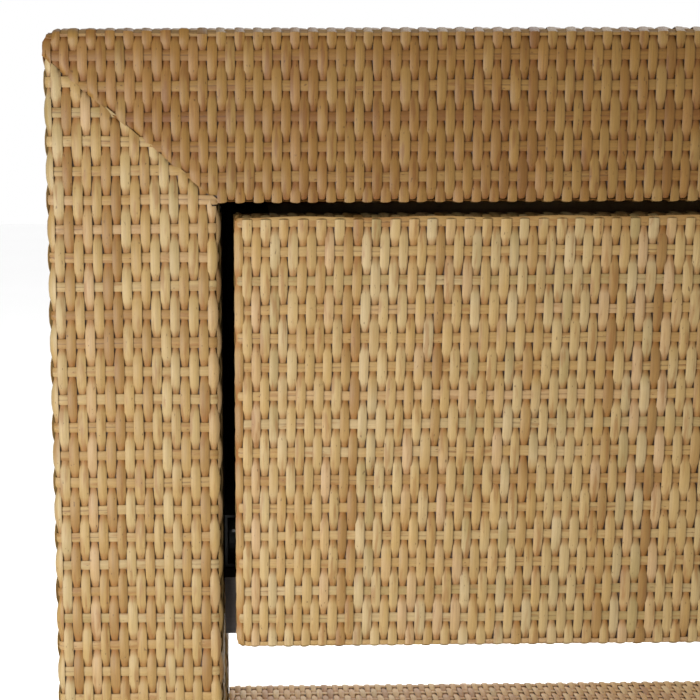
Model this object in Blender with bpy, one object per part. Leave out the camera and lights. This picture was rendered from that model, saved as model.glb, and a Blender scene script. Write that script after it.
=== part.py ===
"""Side table with one drawer and a low shelf: rattan peel woven over a timber frame.

Metres, +Z up. The front faces -Y and the origin is on the floor, under the middle of the table.
"Inset" means a distance measured inwards from the outer faces of the legs.
"""

import math

import bmesh
import bpy

# Driving dimensions
WIDTH = 0.584
DEPTH = 0.457
HEIGHT = 0.610
LEG = 0.076  # side of a leg, and height of the top rails
CASE_BOTTOM = 0.333  # height of the underside of the drawer case
SHELF_TOP = 0.145
SHELF_THICK = 0.027
TRAVEL = 0.28  # how far the drawer opens

# Weave and timber
WEAVE = 0.0027  # thickness of the woven skin
GAP = 0.0003  # play between pieces that touch
CORE = WEAVE + GAP  # inset of the timber under a skin
CORNER = 0.004  # radius of a woven corner
MITRE_PLAY = 0.0002
TOP_BOARD = 0.018
RAIL = 0.030
PANEL = 0.016
PANEL_RECESS = 0.004
LIP = 0.036  # width of the weave turned under the top rails
CASE_FLOOR = 0.009
LOW_RAIL_INSET = 0.025
LOW_RAIL = 0.020
LOW_RAIL_HIGH = 0.027
BATTEN_THICK = 0.020
BATTEN_HIGH = 0.060
GLIDE_HIGH = 0.0057
GLIDE_RADIUS = 0.0125

# Drawer
FRONT_RECESS = 0.001
FRONT_THICK = 0.0225
FRONT_SIDE_GAP = 0.005
FRONT_TOP_GAP = 0.006
FRONT_CORNER = 0.0054
SIDE_PLAY = 0.013  # room for a slide between a leg and the drawer box
BOX_WALL = 0.012
BOX_TOP = 0.515
BOX_BACK_INSET = 0.405
BOX_FLOOR = 0.005
GROOVE_DEPTH = 0.006
GROOVE_RISE = 0.009

# Roller slides
SHEET = 0.0012  # thickness of the pressed steel
SLIDE_FRONT = 0.040  # inset of the fixed channel's front end
SLIDE_LONG = 0.360
SLIDE_HIGH = 0.0252
SLIDE_LIFT = 0.0005
FLANGE = 0.0090
RIDING_FLANGE = 0.0215  # height of the drawer runner's flange above the channel's underside
ROLLER_RADIUS = 0.0096
ROLLER_WIDE = 0.0074
BORE_RADIUS = 0.0028
SEAT_RADIUS = 0.0050
SEAT_DEEP = 0.0020
AXLE_RADIUS = 0.0025
AXLE_HEAD = 0.0046
FRONT_ROLLER_INSET = 0.052
STOP_ROOM = 0.056  # what is left between the rollers when the drawer is open
SCREW_RADIUS = 0.0017
SCREW_HEAD = 0.0032
SCREW_HEAD_THICK = 0.0015
SCREW_LONG = 0.014

# Heights and places worked out from the sizes above
TOP_UNDER = HEIGHT - LEG
RAIL_TOP = HEIGHT - CORE - TOP_BOARD - GAP
CORE_FOOT = GLIDE_HIGH + GAP
PANEL_TOP = TOP_UNDER - GAP
OPENING = WIDTH / 2 - LEG
FRONT_HALF = OPENING - FRONT_SIDE_GAP
FRONT_TOP = TOP_UNDER - FRONT_TOP_GAP
FRONT_BACK = FRONT_RECESS + FRONT_THICK
BOX_HALF = OPENING - SIDE_PLAY
BOX_FRONT = FRONT_BACK + GAP
SLIDE_Z = CASE_BOTTOM + LOW_RAIL_HIGH + SLIDE_LIFT
BOX_BOTTOM = SLIDE_Z + SLIDE_LIFT + SHEET + GAP
ROLLER_Z = SLIDE_Z + SHEET + GAP + ROLLER_RADIUS
BACK_ROLLER_INSET = FRONT_ROLLER_INSET + TRAVEL + STOP_ROOM
SHELF_UNDER = SHELF_TOP - SHELF_THICK

SIDES = {"left": -1, "right": 1}
ENDS = {"front": -1, "back": 1}


def clear_scene():
    """Remove whatever the file holds, such as the startup objects."""
    for item in list(bpy.data.objects):
        bpy.data.objects.remove(item, do_unlink=True)


def finish(name, colour, roughness, metallic=0.0):
    """A Principled material of one colour."""
    material = bpy.data.materials.new(name)
    material.use_nodes = True
    shader = material.node_tree.nodes["Principled BSDF"]
    shader.inputs["Base Color"].default_value = (*colour, 1.0)
    shader.inputs["Roughness"].default_value = roughness
    shader.inputs["Metallic"].default_value = metallic
    return material


def empty(name, location=(0.0, 0.0, 0.0)):
    """An empty that holds the pieces of one moving or fixed group."""
    item = bpy.data.objects.new(name, None)
    item.location = location
    bpy.context.scene.collection.objects.link(item)
    return item


def add_piece(name, mesh, material, centre, parent):
    """Put a bmesh, built round its own origin, into the scene at a centre."""
    bmesh.ops.recalc_face_normals(mesh, faces=mesh.faces)
    data = bpy.data.meshes.new(name)
    mesh.to_mesh(data)
    mesh.free()
    if material is not None:
        data.materials.append(material)
    item = bpy.data.objects.new(name, data)
    item.location = centre
    item.parent = parent
    bpy.context.scene.collection.objects.link(item)
    return item


def block(name, low, high, material, parent=None):
    """A box between two corners, with its origin in its middle."""
    centre = [(a + b) / 2 for a, b in zip(low, high)]
    mesh = bmesh.new()
    bmesh.ops.create_cube(mesh, size=1.0)
    bmesh.ops.scale(mesh, vec=[b - a for a, b in zip(low, high)], verts=mesh.verts)
    return add_piece(name, mesh, material, centre, parent)


def prism(name, outline, low, high, material, parent=None, along="Z"):
    """An outline pulled straight, along Z from points (x, y) or along Y from points (x, z)."""
    mesh = bmesh.new()
    place = (lambda a, b: (a, b, low)) if along == "Z" else (lambda a, b: (a, low, b))
    face = mesh.faces.new([mesh.verts.new(place(a, b)) for a, b in outline])
    pulled = bmesh.ops.extrude_face_region(mesh, geom=[face])["geom"]
    way = (0, 0, high - low) if along == "Z" else (0, high - low, 0)
    bmesh.ops.translate(mesh, vec=way, verts=[v for v in pulled if isinstance(v, bmesh.types.BMVert)])
    return add_piece(name, mesh, material, (0, 0, 0), parent)


def turned(name, profile, centre, material, parent, steps=20, axis="X"):
    """A closed profile of (along, radius) points turned about X or Z; points on the axis close it."""
    mesh = bmesh.new()
    rings = []
    for along, radius in profile:
        count = steps if radius > 0 else 1
        ring = []
        for step in range(count):
            angle = 2 * math.pi * step / steps
            across, up = radius * math.cos(angle), radius * math.sin(angle)
            ring.append(mesh.verts.new((along, across, up) if axis == "X" else (across, up, along)))
        rings.append(ring)
    pairs = list(zip(rings, rings[1:]))
    if all(len(ring) > 1 for ring in rings):
        pairs.append((rings[-1], rings[0]))
    for first, second in pairs:
        for step in range(steps):
            a, b = first[step % len(first)], first[(step + 1) % len(first)]
            c, d = second[(step + 1) % len(second)], second[step % len(second)]
            mesh.faces.new(list(dict.fromkeys((a, b, c, d))))
    item = add_piece(name, mesh, material, centre, parent)
    item.data.shade_smooth()
    item.data.set_sharp_from_angle(angle=math.radians(35))
    return item


def cut(item, cutter):
    """Take a helper solid out of a piece."""
    cutter.hide_render = True
    cutter.display_type = "WIRE"
    boolean = item.modifiers.new(f"minus_{cutter.name}", "BOOLEAN")
    boolean.operation = "DIFFERENCE"
    boolean.solver = "EXACT"
    boolean.object = cutter


def rounded(left, right, low, high, radii, steps=3):
    """A rectangle's outline with a radius for each corner, from low-left anticlockwise."""
    centres = ((left, low, 1, 1), (right, low, -1, 1), (right, high, -1, -1), (left, high, 1, -1))
    points = []
    for corner, (x, y, to_x, to_y) in enumerate(centres):
        radius = radii[corner]
        for step in range(steps + 1):
            turn = math.radians(180 + 90 * corner + 90 * step / steps)
            points.append((x + radius * (to_x + math.cos(turn)), y + radius * (to_y + math.sin(turn))))
    return points


def notched(inset_x, inset_y, notch, back_inset=None):
    """A board's outline with a square notch round each leg."""
    x, front = WIDTH / 2 - inset_x, -DEPTH / 2 + inset_y
    back = DEPTH / 2 - (inset_y if back_inset is None else back_inset)
    leg_x, leg_y = WIDTH / 2 - notch, DEPTH / 2 - notch
    half = [(-leg_x, front), (leg_x, front), (leg_x, -leg_y), (x, -leg_y), (x, leg_y), (leg_x, leg_y)]
    return half + [
        (leg_x, back), (-leg_x, back), (-leg_x, leg_y), (-x, leg_y), (-x, -leg_y), (-leg_x, -leg_y)
    ]


def from_front(inset):
    """The y of a plane this far behind the front faces of the legs."""
    return -DEPTH / 2 + inset


def mitred_corner(name, x_sign, y_sign, margin, low, lift, material=None, parent=None, radius=0.0):
    """The corner of the table that belongs to a leg: two sloping planes meet the top's weave.

    The planes fall inwards at 45 degrees from the top edges of the front and of the side.
    A positive margin makes the corner larger than the leg, for use as a cutter.
    """
    reach = 0.01 if margin > 0 else 0.0
    x_out, x_in = x_sign * (WIDTH / 2 + reach), x_sign * (WIDTH / 2 - LEG - margin)
    y_out, y_in = y_sign * (DEPTH / 2 + reach), y_sign * (DEPTH / 2 - LEG - margin)
    left, right = sorted((x_out, x_in))
    front, back = sorted((y_out, y_in))
    item = prism(
        name, rounded(left, right, front, back, [radius] * 4), low, HEIGHT + 0.02, material, parent
    )
    mesh = bmesh.new()
    mesh.from_mesh(item.data)
    for point, normal in (
        ((x_sign * WIDTH / 2, 0, HEIGHT + lift), (-x_sign, 0, 1)),
        ((0, y_sign * DEPTH / 2, HEIGHT + lift), (0, -y_sign, 1)),
    ):
        geometry = list(mesh.verts) + list(mesh.edges) + list(mesh.faces)
        bmesh.ops.bisect_plane(mesh, geom=geometry, plane_co=point, plane_no=normal, clear_outer=True)
        bmesh.ops.holes_fill(mesh, edges=[edge for edge in mesh.edges if edge.is_boundary])
    bmesh.ops.recalc_face_normals(mesh, faces=mesh.faces)
    mesh.to_mesh(item.data)
    mesh.free()
    return item


def drill(name, x_from, x_to, y, z, radius=SCREW_RADIUS + GAP):
    """A helper cylinder along X, for a screw or an axle."""
    profile = [(x_from, 0.0), (x_from, radius), (x_to, radius), (x_to, 0.0)]
    return turned(name, profile, (0, y, z), None, None, steps=12)


def make_legs(paint, case, screw_places):
    """Four timber legs, each in its woven sleeve and on a glide."""
    for end, y_sign in ENDS.items():
        for side, x_sign in SIDES.items():
            here = f"{end}_{side}"
            x, y = x_sign * WIDTH / 2, y_sign * DEPTH / 2
            middle_x, middle_y = x - x_sign * LEG / 2, y - y_sign * LEG / 2
            half = LEG / 2 - CORE
            low, high = (middle_x - half, middle_y - half), (middle_x + half, middle_y + half)
            core = block(f"leg_core_{here}", (*low, CORE_FOOT), (*high, RAIL_TOP), paint["timber"], case)
            skin = mitred_corner(
                f"leg_weave_{here}",
                x_sign,
                y_sign,
                0.0,
                CORE_FOOT,
                -MITRE_PLAY,
                paint["rattan"],
                case,
                CORNER,
            )
            hollow_low = (low[0] - GAP, low[1] - GAP, -0.01)
            hollow_high = (high[0] + GAP, high[1] + GAP, HEIGHT + 0.05)
            cut(skin, block(f"cut_leg_{here}", hollow_low, hollow_high, None))
            hole_y, hole_z = screw_places[end]
            hole = drill(
                f"cut_screw_{here}",
                x_sign * (OPENING - 0.002),
                x_sign * (OPENING + SCREW_LONG + GAP),
                hole_y,
                hole_z,
            )
            cut(skin, hole)
            cut(core, hole)
            glide = [(0, 0), (0, GLIDE_RADIUS - 0.0015), (0.0015, GLIDE_RADIUS), (GLIDE_HIGH, GLIDE_RADIUS)]
            foot = (middle_x, middle_y, 0)
            turned(f"foot_glide_{here}", [*glide, (GLIDE_HIGH, 0)], foot, paint["nylon"], case, axis="Z")


def make_top(paint, case):
    """The top board, its four rails, and the woven cap that wraps them."""
    half_x, half_y = WIDTH / 2, DEPTH / 2
    board_low = (-half_x + CORE, -half_y + CORE, HEIGHT - CORE - TOP_BOARD)
    block("top_board", board_low, (half_x - CORE, half_y - CORE, HEIGHT - CORE), paint["timber"], case)
    between = LEG - CORE + GAP
    rail_low = TOP_UNDER + CORE
    for end, y_sign in ENDS.items():
        near, far = sorted((y_sign * (half_y - CORE), y_sign * (half_y - CORE - RAIL)))
        block(
            f"top_rail_{end}",
            (-half_x + between, near, rail_low),
            (half_x - between, far, RAIL_TOP),
            paint["timber"],
            case,
        )
    for side, x_sign in SIDES.items():
        near, far = sorted((x_sign * (half_x - CORE), x_sign * (half_x - CORE - RAIL)))
        block(
            f"top_rail_{side}",
            (near, -half_y + between, rail_low),
            (far, half_y - between, RAIL_TOP),
            paint["timber"],
            case,
        )
    outline = rounded(-half_x, half_x, -half_y, half_y, [CORNER] * 4)
    cap = prism("top_weave", outline, TOP_UNDER, HEIGHT, paint["rattan"], case)
    hollow_low = (-half_x + WEAVE, -half_y + WEAVE, TOP_UNDER + WEAVE)
    cut(cap, block("cut_cap", hollow_low, (half_x - WEAVE, half_y - WEAVE, HEIGHT - WEAVE), None))
    mouth_low = (-half_x + LIP, -half_y + LIP, TOP_UNDER - 0.01)
    cut(cap, block("cut_cap_mouth", mouth_low, (half_x - LIP, half_y - LIP, HEIGHT - 0.02), None))
    for end, y_sign in ENDS.items():
        for side, x_sign in SIDES.items():
            cut(
                cap,
                mitred_corner(f"cut_cap_{end}_{side}", x_sign, y_sign, GAP, TOP_UNDER - 0.02, MITRE_PLAY),
            )


def make_panels(paint, case):
    """The woven side and back panels of the drawer case, set back a little from the legs."""
    end_y = DEPTH / 2 - LEG - GAP
    for side, x_sign in SIDES.items():
        outer = x_sign * (WIDTH / 2 - PANEL_RECESS)
        board_out, board_in = outer - x_sign * CORE, outer - x_sign * (CORE + PANEL)
        near, far = sorted((board_out, board_in))
        block(
            f"side_panel_{side}",
            (near, -end_y, CASE_BOTTOM + CORE),
            (far, end_y, PANEL_TOP),
            paint["timber"],
            case,
        )
        near, far = sorted((outer, board_in))
        skin = block(
            f"side_weave_{side}",
            (near, -end_y, CASE_BOTTOM),
            (far, end_y, PANEL_TOP),
            paint["rattan"],
            case,
        )
        near, far = sorted((outer - x_sign * WEAVE, board_in - x_sign * 0.01))
        room = block(
            f"cut_side_{side}",
            (near, -end_y - 0.01, CASE_BOTTOM + WEAVE),
            (far, end_y + 0.01, HEIGHT),
            None,
        )
        cut(skin, room)
    end_x = OPENING - GAP
    outer = DEPTH / 2 - PANEL_RECESS
    board_in = outer - CORE - PANEL
    block(
        "back_panel",
        (-end_x, board_in, CASE_BOTTOM + CORE),
        (end_x, outer - CORE, PANEL_TOP),
        paint["timber"],
        case,
    )
    skin = block(
        "back_weave", (-end_x, board_in, CASE_BOTTOM), (end_x, outer, PANEL_TOP), paint["rattan"], case
    )
    low = (-end_x - 0.01, board_in - 0.01, CASE_BOTTOM + WEAVE)
    cut(skin, block("cut_back", low, (end_x + 0.01, outer - WEAVE, HEIGHT), None))


def make_case_floor(paint, case):
    """The dust panel, the dark rail behind the drawer front, and the battens that carry the slides."""
    end_x = OPENING - GAP
    rail_back = from_front(LOW_RAIL_INSET + LOW_RAIL)
    block(
        "case_front_rail",
        (-end_x, from_front(LOW_RAIL_INSET), CASE_BOTTOM),
        (end_x, rail_back, CASE_BOTTOM + LOW_RAIL_HIGH),
        paint["dark_timber"],
        case,
    )
    behind_panel = PANEL_RECESS + CORE + PANEL + GAP
    outline = notched(behind_panel, LOW_RAIL_INSET + LOW_RAIL + GAP, LEG + GAP, behind_panel)
    prism("case_floor", outline, CASE_BOTTOM, CASE_BOTTOM + CASE_FLOOR, paint["plywood"], case)
    end_y = DEPTH / 2 - LEG - GAP
    for side, x_sign in SIDES.items():
        near, far = sorted((x_sign * OPENING, x_sign * (OPENING + BATTEN_THICK)))
        low = CASE_BOTTOM + CASE_FLOOR + GAP
        block(
            f"slide_batten_{side}",
            (near, -end_y, low),
            (far, end_y, low + BATTEN_HIGH),
            paint["timber"],
            case,
        )


def make_shelf(paint, case):
    """The low shelf, notched round the legs, under its woven cap."""
    notch = LEG + GAP
    prism(
        "shelf_board",
        notched(PANEL_RECESS + CORE, PANEL_RECESS + CORE, notch + CORE),
        SHELF_UNDER,
        SHELF_TOP - CORE,
        paint["timber"],
        case,
    )
    cap = prism(
        "shelf_weave",
        notched(PANEL_RECESS, PANEL_RECESS, notch),
        SHELF_UNDER,
        SHELF_TOP,
        paint["rattan"],
        case,
    )
    room = notched(PANEL_RECESS + WEAVE, PANEL_RECESS + WEAVE, notch + WEAVE)
    cut(cap, prism("cut_shelf", room, SHELF_UNDER - 0.01, SHELF_TOP - WEAVE, None))


def roller_shape():
    """A roller's section: a ring with a seat for the axle's head on its +X face."""
    half = ROLLER_WIDE / 2
    edge = 0.0006
    return [
        (-half, BORE_RADIUS),
        (-half, ROLLER_RADIUS - edge),
        (-half + edge, ROLLER_RADIUS),
        (half - edge, ROLLER_RADIUS),
        (half, ROLLER_RADIUS - edge),
        (half, SEAT_RADIUS),
        (half - SEAT_DEEP, SEAT_RADIUS),
        (half - SEAT_DEEP, BORE_RADIUS),
    ]


def axle_shape():
    """An axle's section: a shank that starts in the steel web, and a flat head in the roller's seat."""
    half = ROLLER_WIDE / 2
    foot = -half - GAP - SHEET
    neck = half - SEAT_DEEP + GAP
    return [
        (foot, 0), (foot, AXLE_RADIUS), (neck, AXLE_RADIUS), (neck, AXLE_HEAD), (half, AXLE_HEAD), (half, 0)
    ]


def mirrored(profile, sign):
    """A section turned to point the other way along X when sign is negative."""
    return [(sign * along, radius) for along, radius in profile]


def make_slide(side, x_sign, paint, case, drawer, screw_places):
    """One roller slide: a fixed channel with a front roller, and the drawer's runner with a back one."""

    def across(inset):
        """The x of a plane this far from the leg's inner face, towards the drawer."""
        return x_sign * (OPENING - inset)

    def slab(name, parts, material, parent):
        """One piece of bent sheet, joined from flat strips given as insets and heights."""
        boxes = []
        for index, (inset_a, inset_b, front, back, low, high) in enumerate(parts):
            near, far = sorted((across(inset_a), across(inset_b)))
            corners = (near, from_front(front), low), (far, from_front(back), high)
            boxes.append(block(name if index == 0 else f"join_{name}_{index}", *corners, material, parent))
        for extra in boxes[1:]:
            extra.hide_render = True
            extra.display_type = "WIRE"
            weld = boxes[0].modifiers.new(f"plus_{extra.name}", "BOOLEAN")
            weld.operation = "UNION"
            weld.solver = "EXACT"
            weld.object = extra
        return boxes[0]

    front, back = SLIDE_FRONT, SLIDE_FRONT + SLIDE_LONG
    web = GAP + SHEET
    root = GAP + SHEET / 2
    top = SLIDE_Z + SLIDE_HIGH
    channel = slab(
        f"slide_channel_{side}",
        [
            (GAP, web, front, back, SLIDE_Z, top),
            (root, web + FLANGE, front, back, SLIDE_Z, SLIDE_Z + SHEET),
            (root, web + FLANGE, front, back, top - SHEET, top),
        ],
        paint["steel"],
        case,
    )
    inner = SIDE_PLAY - GAP
    outer = inner - SHEET
    runner_front, runner_back = BOX_FRONT, BACK_ROLLER_INSET + ROLLER_RADIUS
    flange_back = BACK_ROLLER_INSET - ROLLER_RADIUS - 0.002
    under = SLIDE_Z + SLIDE_LIFT
    ride = SLIDE_Z + RIDING_FLANGE
    runner = slab(
        f"drawer_runner_{side}",
        [
            (outer, inner, runner_front, runner_back, under, ride + SHEET),
            (inner - SHEET / 2, inner + BOX_WALL, runner_front, runner_back, under, under + SHEET),
            (outer - FLANGE + SHEET, outer + SHEET / 2, runner_front, flange_back, ride, ride + SHEET),
        ],
        paint["steel"],
        drawer,
    )
    rollers = (
        ("front", FRONT_ROLLER_INSET, web + GAP + ROLLER_WIDE / 2, -x_sign, channel, case),
        ("back", BACK_ROLLER_INSET, outer - GAP - ROLLER_WIDE / 2, x_sign, runner, drawer),
    )
    for end, inset, middle, facing, plate, group in rollers:
        centre = (across(middle), from_front(inset), ROLLER_Z)
        pivot = empty(f"{end}_roller_axis_{side}", centre)
        pivot.parent = group
        turned(f"{end}_roller_{side}", mirrored(roller_shape(), facing), (0, 0, 0), paint["nylon"], pivot)
        turned(
            f"{end}_axle_{side}", mirrored(axle_shape(), facing), (0, 0, 0), paint["steel"], pivot, steps=16
        )
        reach = ROLLER_WIDE / 2 + GAP + SHEET / 2
        hole_x = centre[0] - facing * reach
        hole = drill(
            f"cut_{end}_axle_{side}", hole_x - SHEET, hole_x + SHEET, centre[1], ROLLER_Z, AXLE_RADIUS + GAP
        )
        cut(plate, hole)
    for end, (y, z) in screw_places.items():
        cut(channel, drill(f"cut_channel_{end}_{side}", across(-0.001), across(web + 0.001), y, z))
        head = web + GAP
        section = [
            (0, 0),
            (0, SCREW_RADIUS),
            (SCREW_LONG + head, SCREW_RADIUS),
            (SCREW_LONG + head, SCREW_HEAD),
            (SCREW_LONG + head + SCREW_HEAD_THICK, SCREW_HEAD * 0.7),
            (SCREW_LONG + head + SCREW_HEAD_THICK, 0),
        ]
        tip = across(-SCREW_LONG)
        name = f"slide_screw_{end}_{side}"
        turned(name, mirrored(section, -x_sign), (tip, y, z), paint["steel"], case, steps=12)


def make_drawer_front(paint, drawer):
    """The slab in the opening: a board in a woven tray that wraps its face and its four edges."""
    corners = [FRONT_CORNER, FRONT_CORNER, CORNER / 2, CORNER / 2]
    outline = rounded(-FRONT_HALF, FRONT_HALF, CASE_BOTTOM, FRONT_TOP, corners)
    face, back = from_front(FRONT_RECESS), from_front(FRONT_BACK)
    skin = prism("drawer_front_weave", outline, face, back, paint["rattan"], drawer, along="Y")
    low = (-FRONT_HALF + WEAVE, face + WEAVE, CASE_BOTTOM + WEAVE)
    cut(skin, block("cut_drawer_front", low, (FRONT_HALF - WEAVE, back + 0.01, FRONT_TOP - WEAVE), None))
    low = (-FRONT_HALF + CORE, face + CORE, CASE_BOTTOM + CORE)
    return block(
        "drawer_front_board", low, (FRONT_HALF - CORE, back, FRONT_TOP - CORE), paint["timber"], drawer
    )


def make_drawer_box(paint, drawer, front_board):
    """The plain timber box behind the slab, screwed to it from inside."""
    front, back = from_front(BOX_FRONT), from_front(BOX_BACK_INSET)
    inner = BOX_HALF - BOX_WALL
    floor = BOX_BOTTOM + GROOVE_RISE
    groove_low = (-inner - GROOVE_DEPTH, front + BOX_WALL, floor - GAP)
    groove = block(
        "cut_groove",
        groove_low,
        (inner + GROOVE_DEPTH, back - BOX_WALL + GAP, floor + BOX_FLOOR + GAP),
        None,
    )
    for side, x_sign in SIDES.items():
        near, far = sorted((x_sign * BOX_HALF, x_sign * inner))
        wall = block(
            f"drawer_side_{side}", (near, front, BOX_BOTTOM), (far, back, BOX_TOP), paint["plywood"], drawer
        )
        cut(wall, groove)
    ends = {"drawer_inner_front": front, "drawer_back": back - BOX_WALL}
    walls = {}
    for name, y in ends.items():
        low = (-inner + GAP, y, BOX_BOTTOM)
        walls[name] = block(name, low, (inner - GAP, y + BOX_WALL, BOX_TOP), paint["plywood"], drawer)
    reach = GROOVE_DEPTH - GAP
    floor_low = (-inner - reach, front + BOX_WALL + GAP, floor)
    floor_high = (inner + reach, back - BOX_WALL - GAP, floor + BOX_FLOOR)
    block("drawer_floor", floor_low, floor_high, paint["plywood"], drawer)
    shank = 0.024
    heights = {"low": BOX_BOTTOM + 0.045, "high": BOX_TOP - 0.030}
    head_y = front + BOX_WALL + GAP
    for height, z in heights.items():
        for side, x_sign in SIDES.items():
            name = f"{height}_{side}"
            x = x_sign * inner * 0.6
            section = [(0, 0), (0, SCREW_RADIUS), (shank, SCREW_RADIUS), (shank, SCREW_HEAD)]
            section += [(shank + SCREW_HEAD_THICK, SCREW_HEAD * 0.7), (shank + SCREW_HEAD_THICK, 0)]
            screw = turned(
                f"front_screw_{name}", section, (x, head_y - shank, z), paint["steel"], drawer, steps=12
            )
            screw.rotation_euler = (0, 0, math.pi / 2)
            hole_section = [(-GAP, 0), (-GAP, SCREW_RADIUS + GAP), (0.04, SCREW_RADIUS + GAP), (0.04, 0)]
            hole = turned(
                f"cut_front_screw_{name}", hole_section, (x, head_y - shank, z), None, None, steps=12
            )
            hole.rotation_euler = (0, 0, math.pi / 2)
            cut(walls["drawer_inner_front"], hole)
            cut(front_board, hole)


def main():
    clear_scene()
    paint = {
        "rattan": finish("rattan_peel", (0.62, 0.45, 0.24), 0.55),
        "timber": finish("frame_timber", (0.45, 0.30, 0.17), 0.6),
        "dark_timber": finish("dark_timber", (0.05, 0.03, 0.02), 0.6),
        "plywood": finish("drawer_timber", (0.60, 0.45, 0.28), 0.55),
        "steel": finish("slide_steel", (0.05, 0.045, 0.04), 0.45, 0.3),
        "nylon": finish("dark_nylon", (0.035, 0.03, 0.03), 0.45),
    }
    case = empty("case")
    drawer = empty("drawer_slide_axis")
    screw_z = SLIDE_Z + SLIDE_HIGH / 2
    screw_places = {"front": (from_front(0.068), screw_z), "back": (-from_front(0.070), screw_z)}
    make_legs(paint, case, screw_places)
    make_top(paint, case)
    make_panels(paint, case)
    make_case_floor(paint, case)
    make_shelf(paint, case)
    for side, x_sign in SIDES.items():
        make_slide(side, x_sign, paint, case, drawer, screw_places)
    front_board = make_drawer_front(paint, drawer)
    make_drawer_box(paint, drawer, front_board)


main()
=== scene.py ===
"""Side table with a drawer, woven from split rattan peel over a timber frame.

Lengths are in metres, +Z is up and the drawer opens towards -Y. Upright strands are called stakes and the
strands that cross them weavers. A sheet of weave follows a path; its strands rise and fall about the path.
"""

import logging
import math
from dataclasses import dataclass, field
from enum import Enum
from typing import Any, Callable, Sequence

import bpy
import numpy as np
from mathutils import Matrix, Vector


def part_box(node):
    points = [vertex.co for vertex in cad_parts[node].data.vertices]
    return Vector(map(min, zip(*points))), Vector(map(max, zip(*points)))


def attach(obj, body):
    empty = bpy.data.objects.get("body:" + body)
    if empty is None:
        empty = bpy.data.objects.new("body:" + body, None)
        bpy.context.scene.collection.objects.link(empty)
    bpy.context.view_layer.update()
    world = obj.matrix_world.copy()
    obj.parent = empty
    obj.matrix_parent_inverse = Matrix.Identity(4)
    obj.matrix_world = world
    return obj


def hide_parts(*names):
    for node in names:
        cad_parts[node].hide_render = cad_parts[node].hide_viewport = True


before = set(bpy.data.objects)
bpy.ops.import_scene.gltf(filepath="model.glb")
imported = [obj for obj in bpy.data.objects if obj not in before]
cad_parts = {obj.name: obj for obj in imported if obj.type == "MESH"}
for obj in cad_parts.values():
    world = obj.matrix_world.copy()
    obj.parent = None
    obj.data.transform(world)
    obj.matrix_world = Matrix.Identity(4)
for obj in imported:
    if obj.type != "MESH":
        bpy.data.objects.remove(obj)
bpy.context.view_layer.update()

LOG = logging.getLogger("side_table")
WEAVE_DEPTH = 0.0027
MIDDLE = WEAVE_DEPTH / 2
LAP = 0.0003
SEARCH_STEPS = 4001
HAIR = 0.0002
SHARP_ANGLE = math.radians(50)
END_ROOM = 0.003
Array = np.ndarray
Limit = Callable[[Array], Array]


class Plane(Enum):
    """The axes of a path's plane, then the axis that runs across it."""

    XY = (0, 1, 2)
    YZ = (1, 2, 0)
    XZ = (0, 2, 1)


class Part(Enum):
    """The record's material slot names; no piece in this script takes its finish from them."""

    PEEL = "rattan_peel"
    TIMBER = "frame_timber"


class Body(Enum):
    """The rigid bodies that new pieces ride on."""

    CASE = "case"
    DRAWER = "drawer"


def smoothstep(value: Array) -> Array:
    """Eases from 0 to 1 as value goes from 0 to 1: t * t * (3 - 2 * t) of the clamped value."""
    clamped = np.clip(value, 0.0, 1.0)
    return clamped * clamped * (3.0 - 2.0 * clamped)


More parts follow.
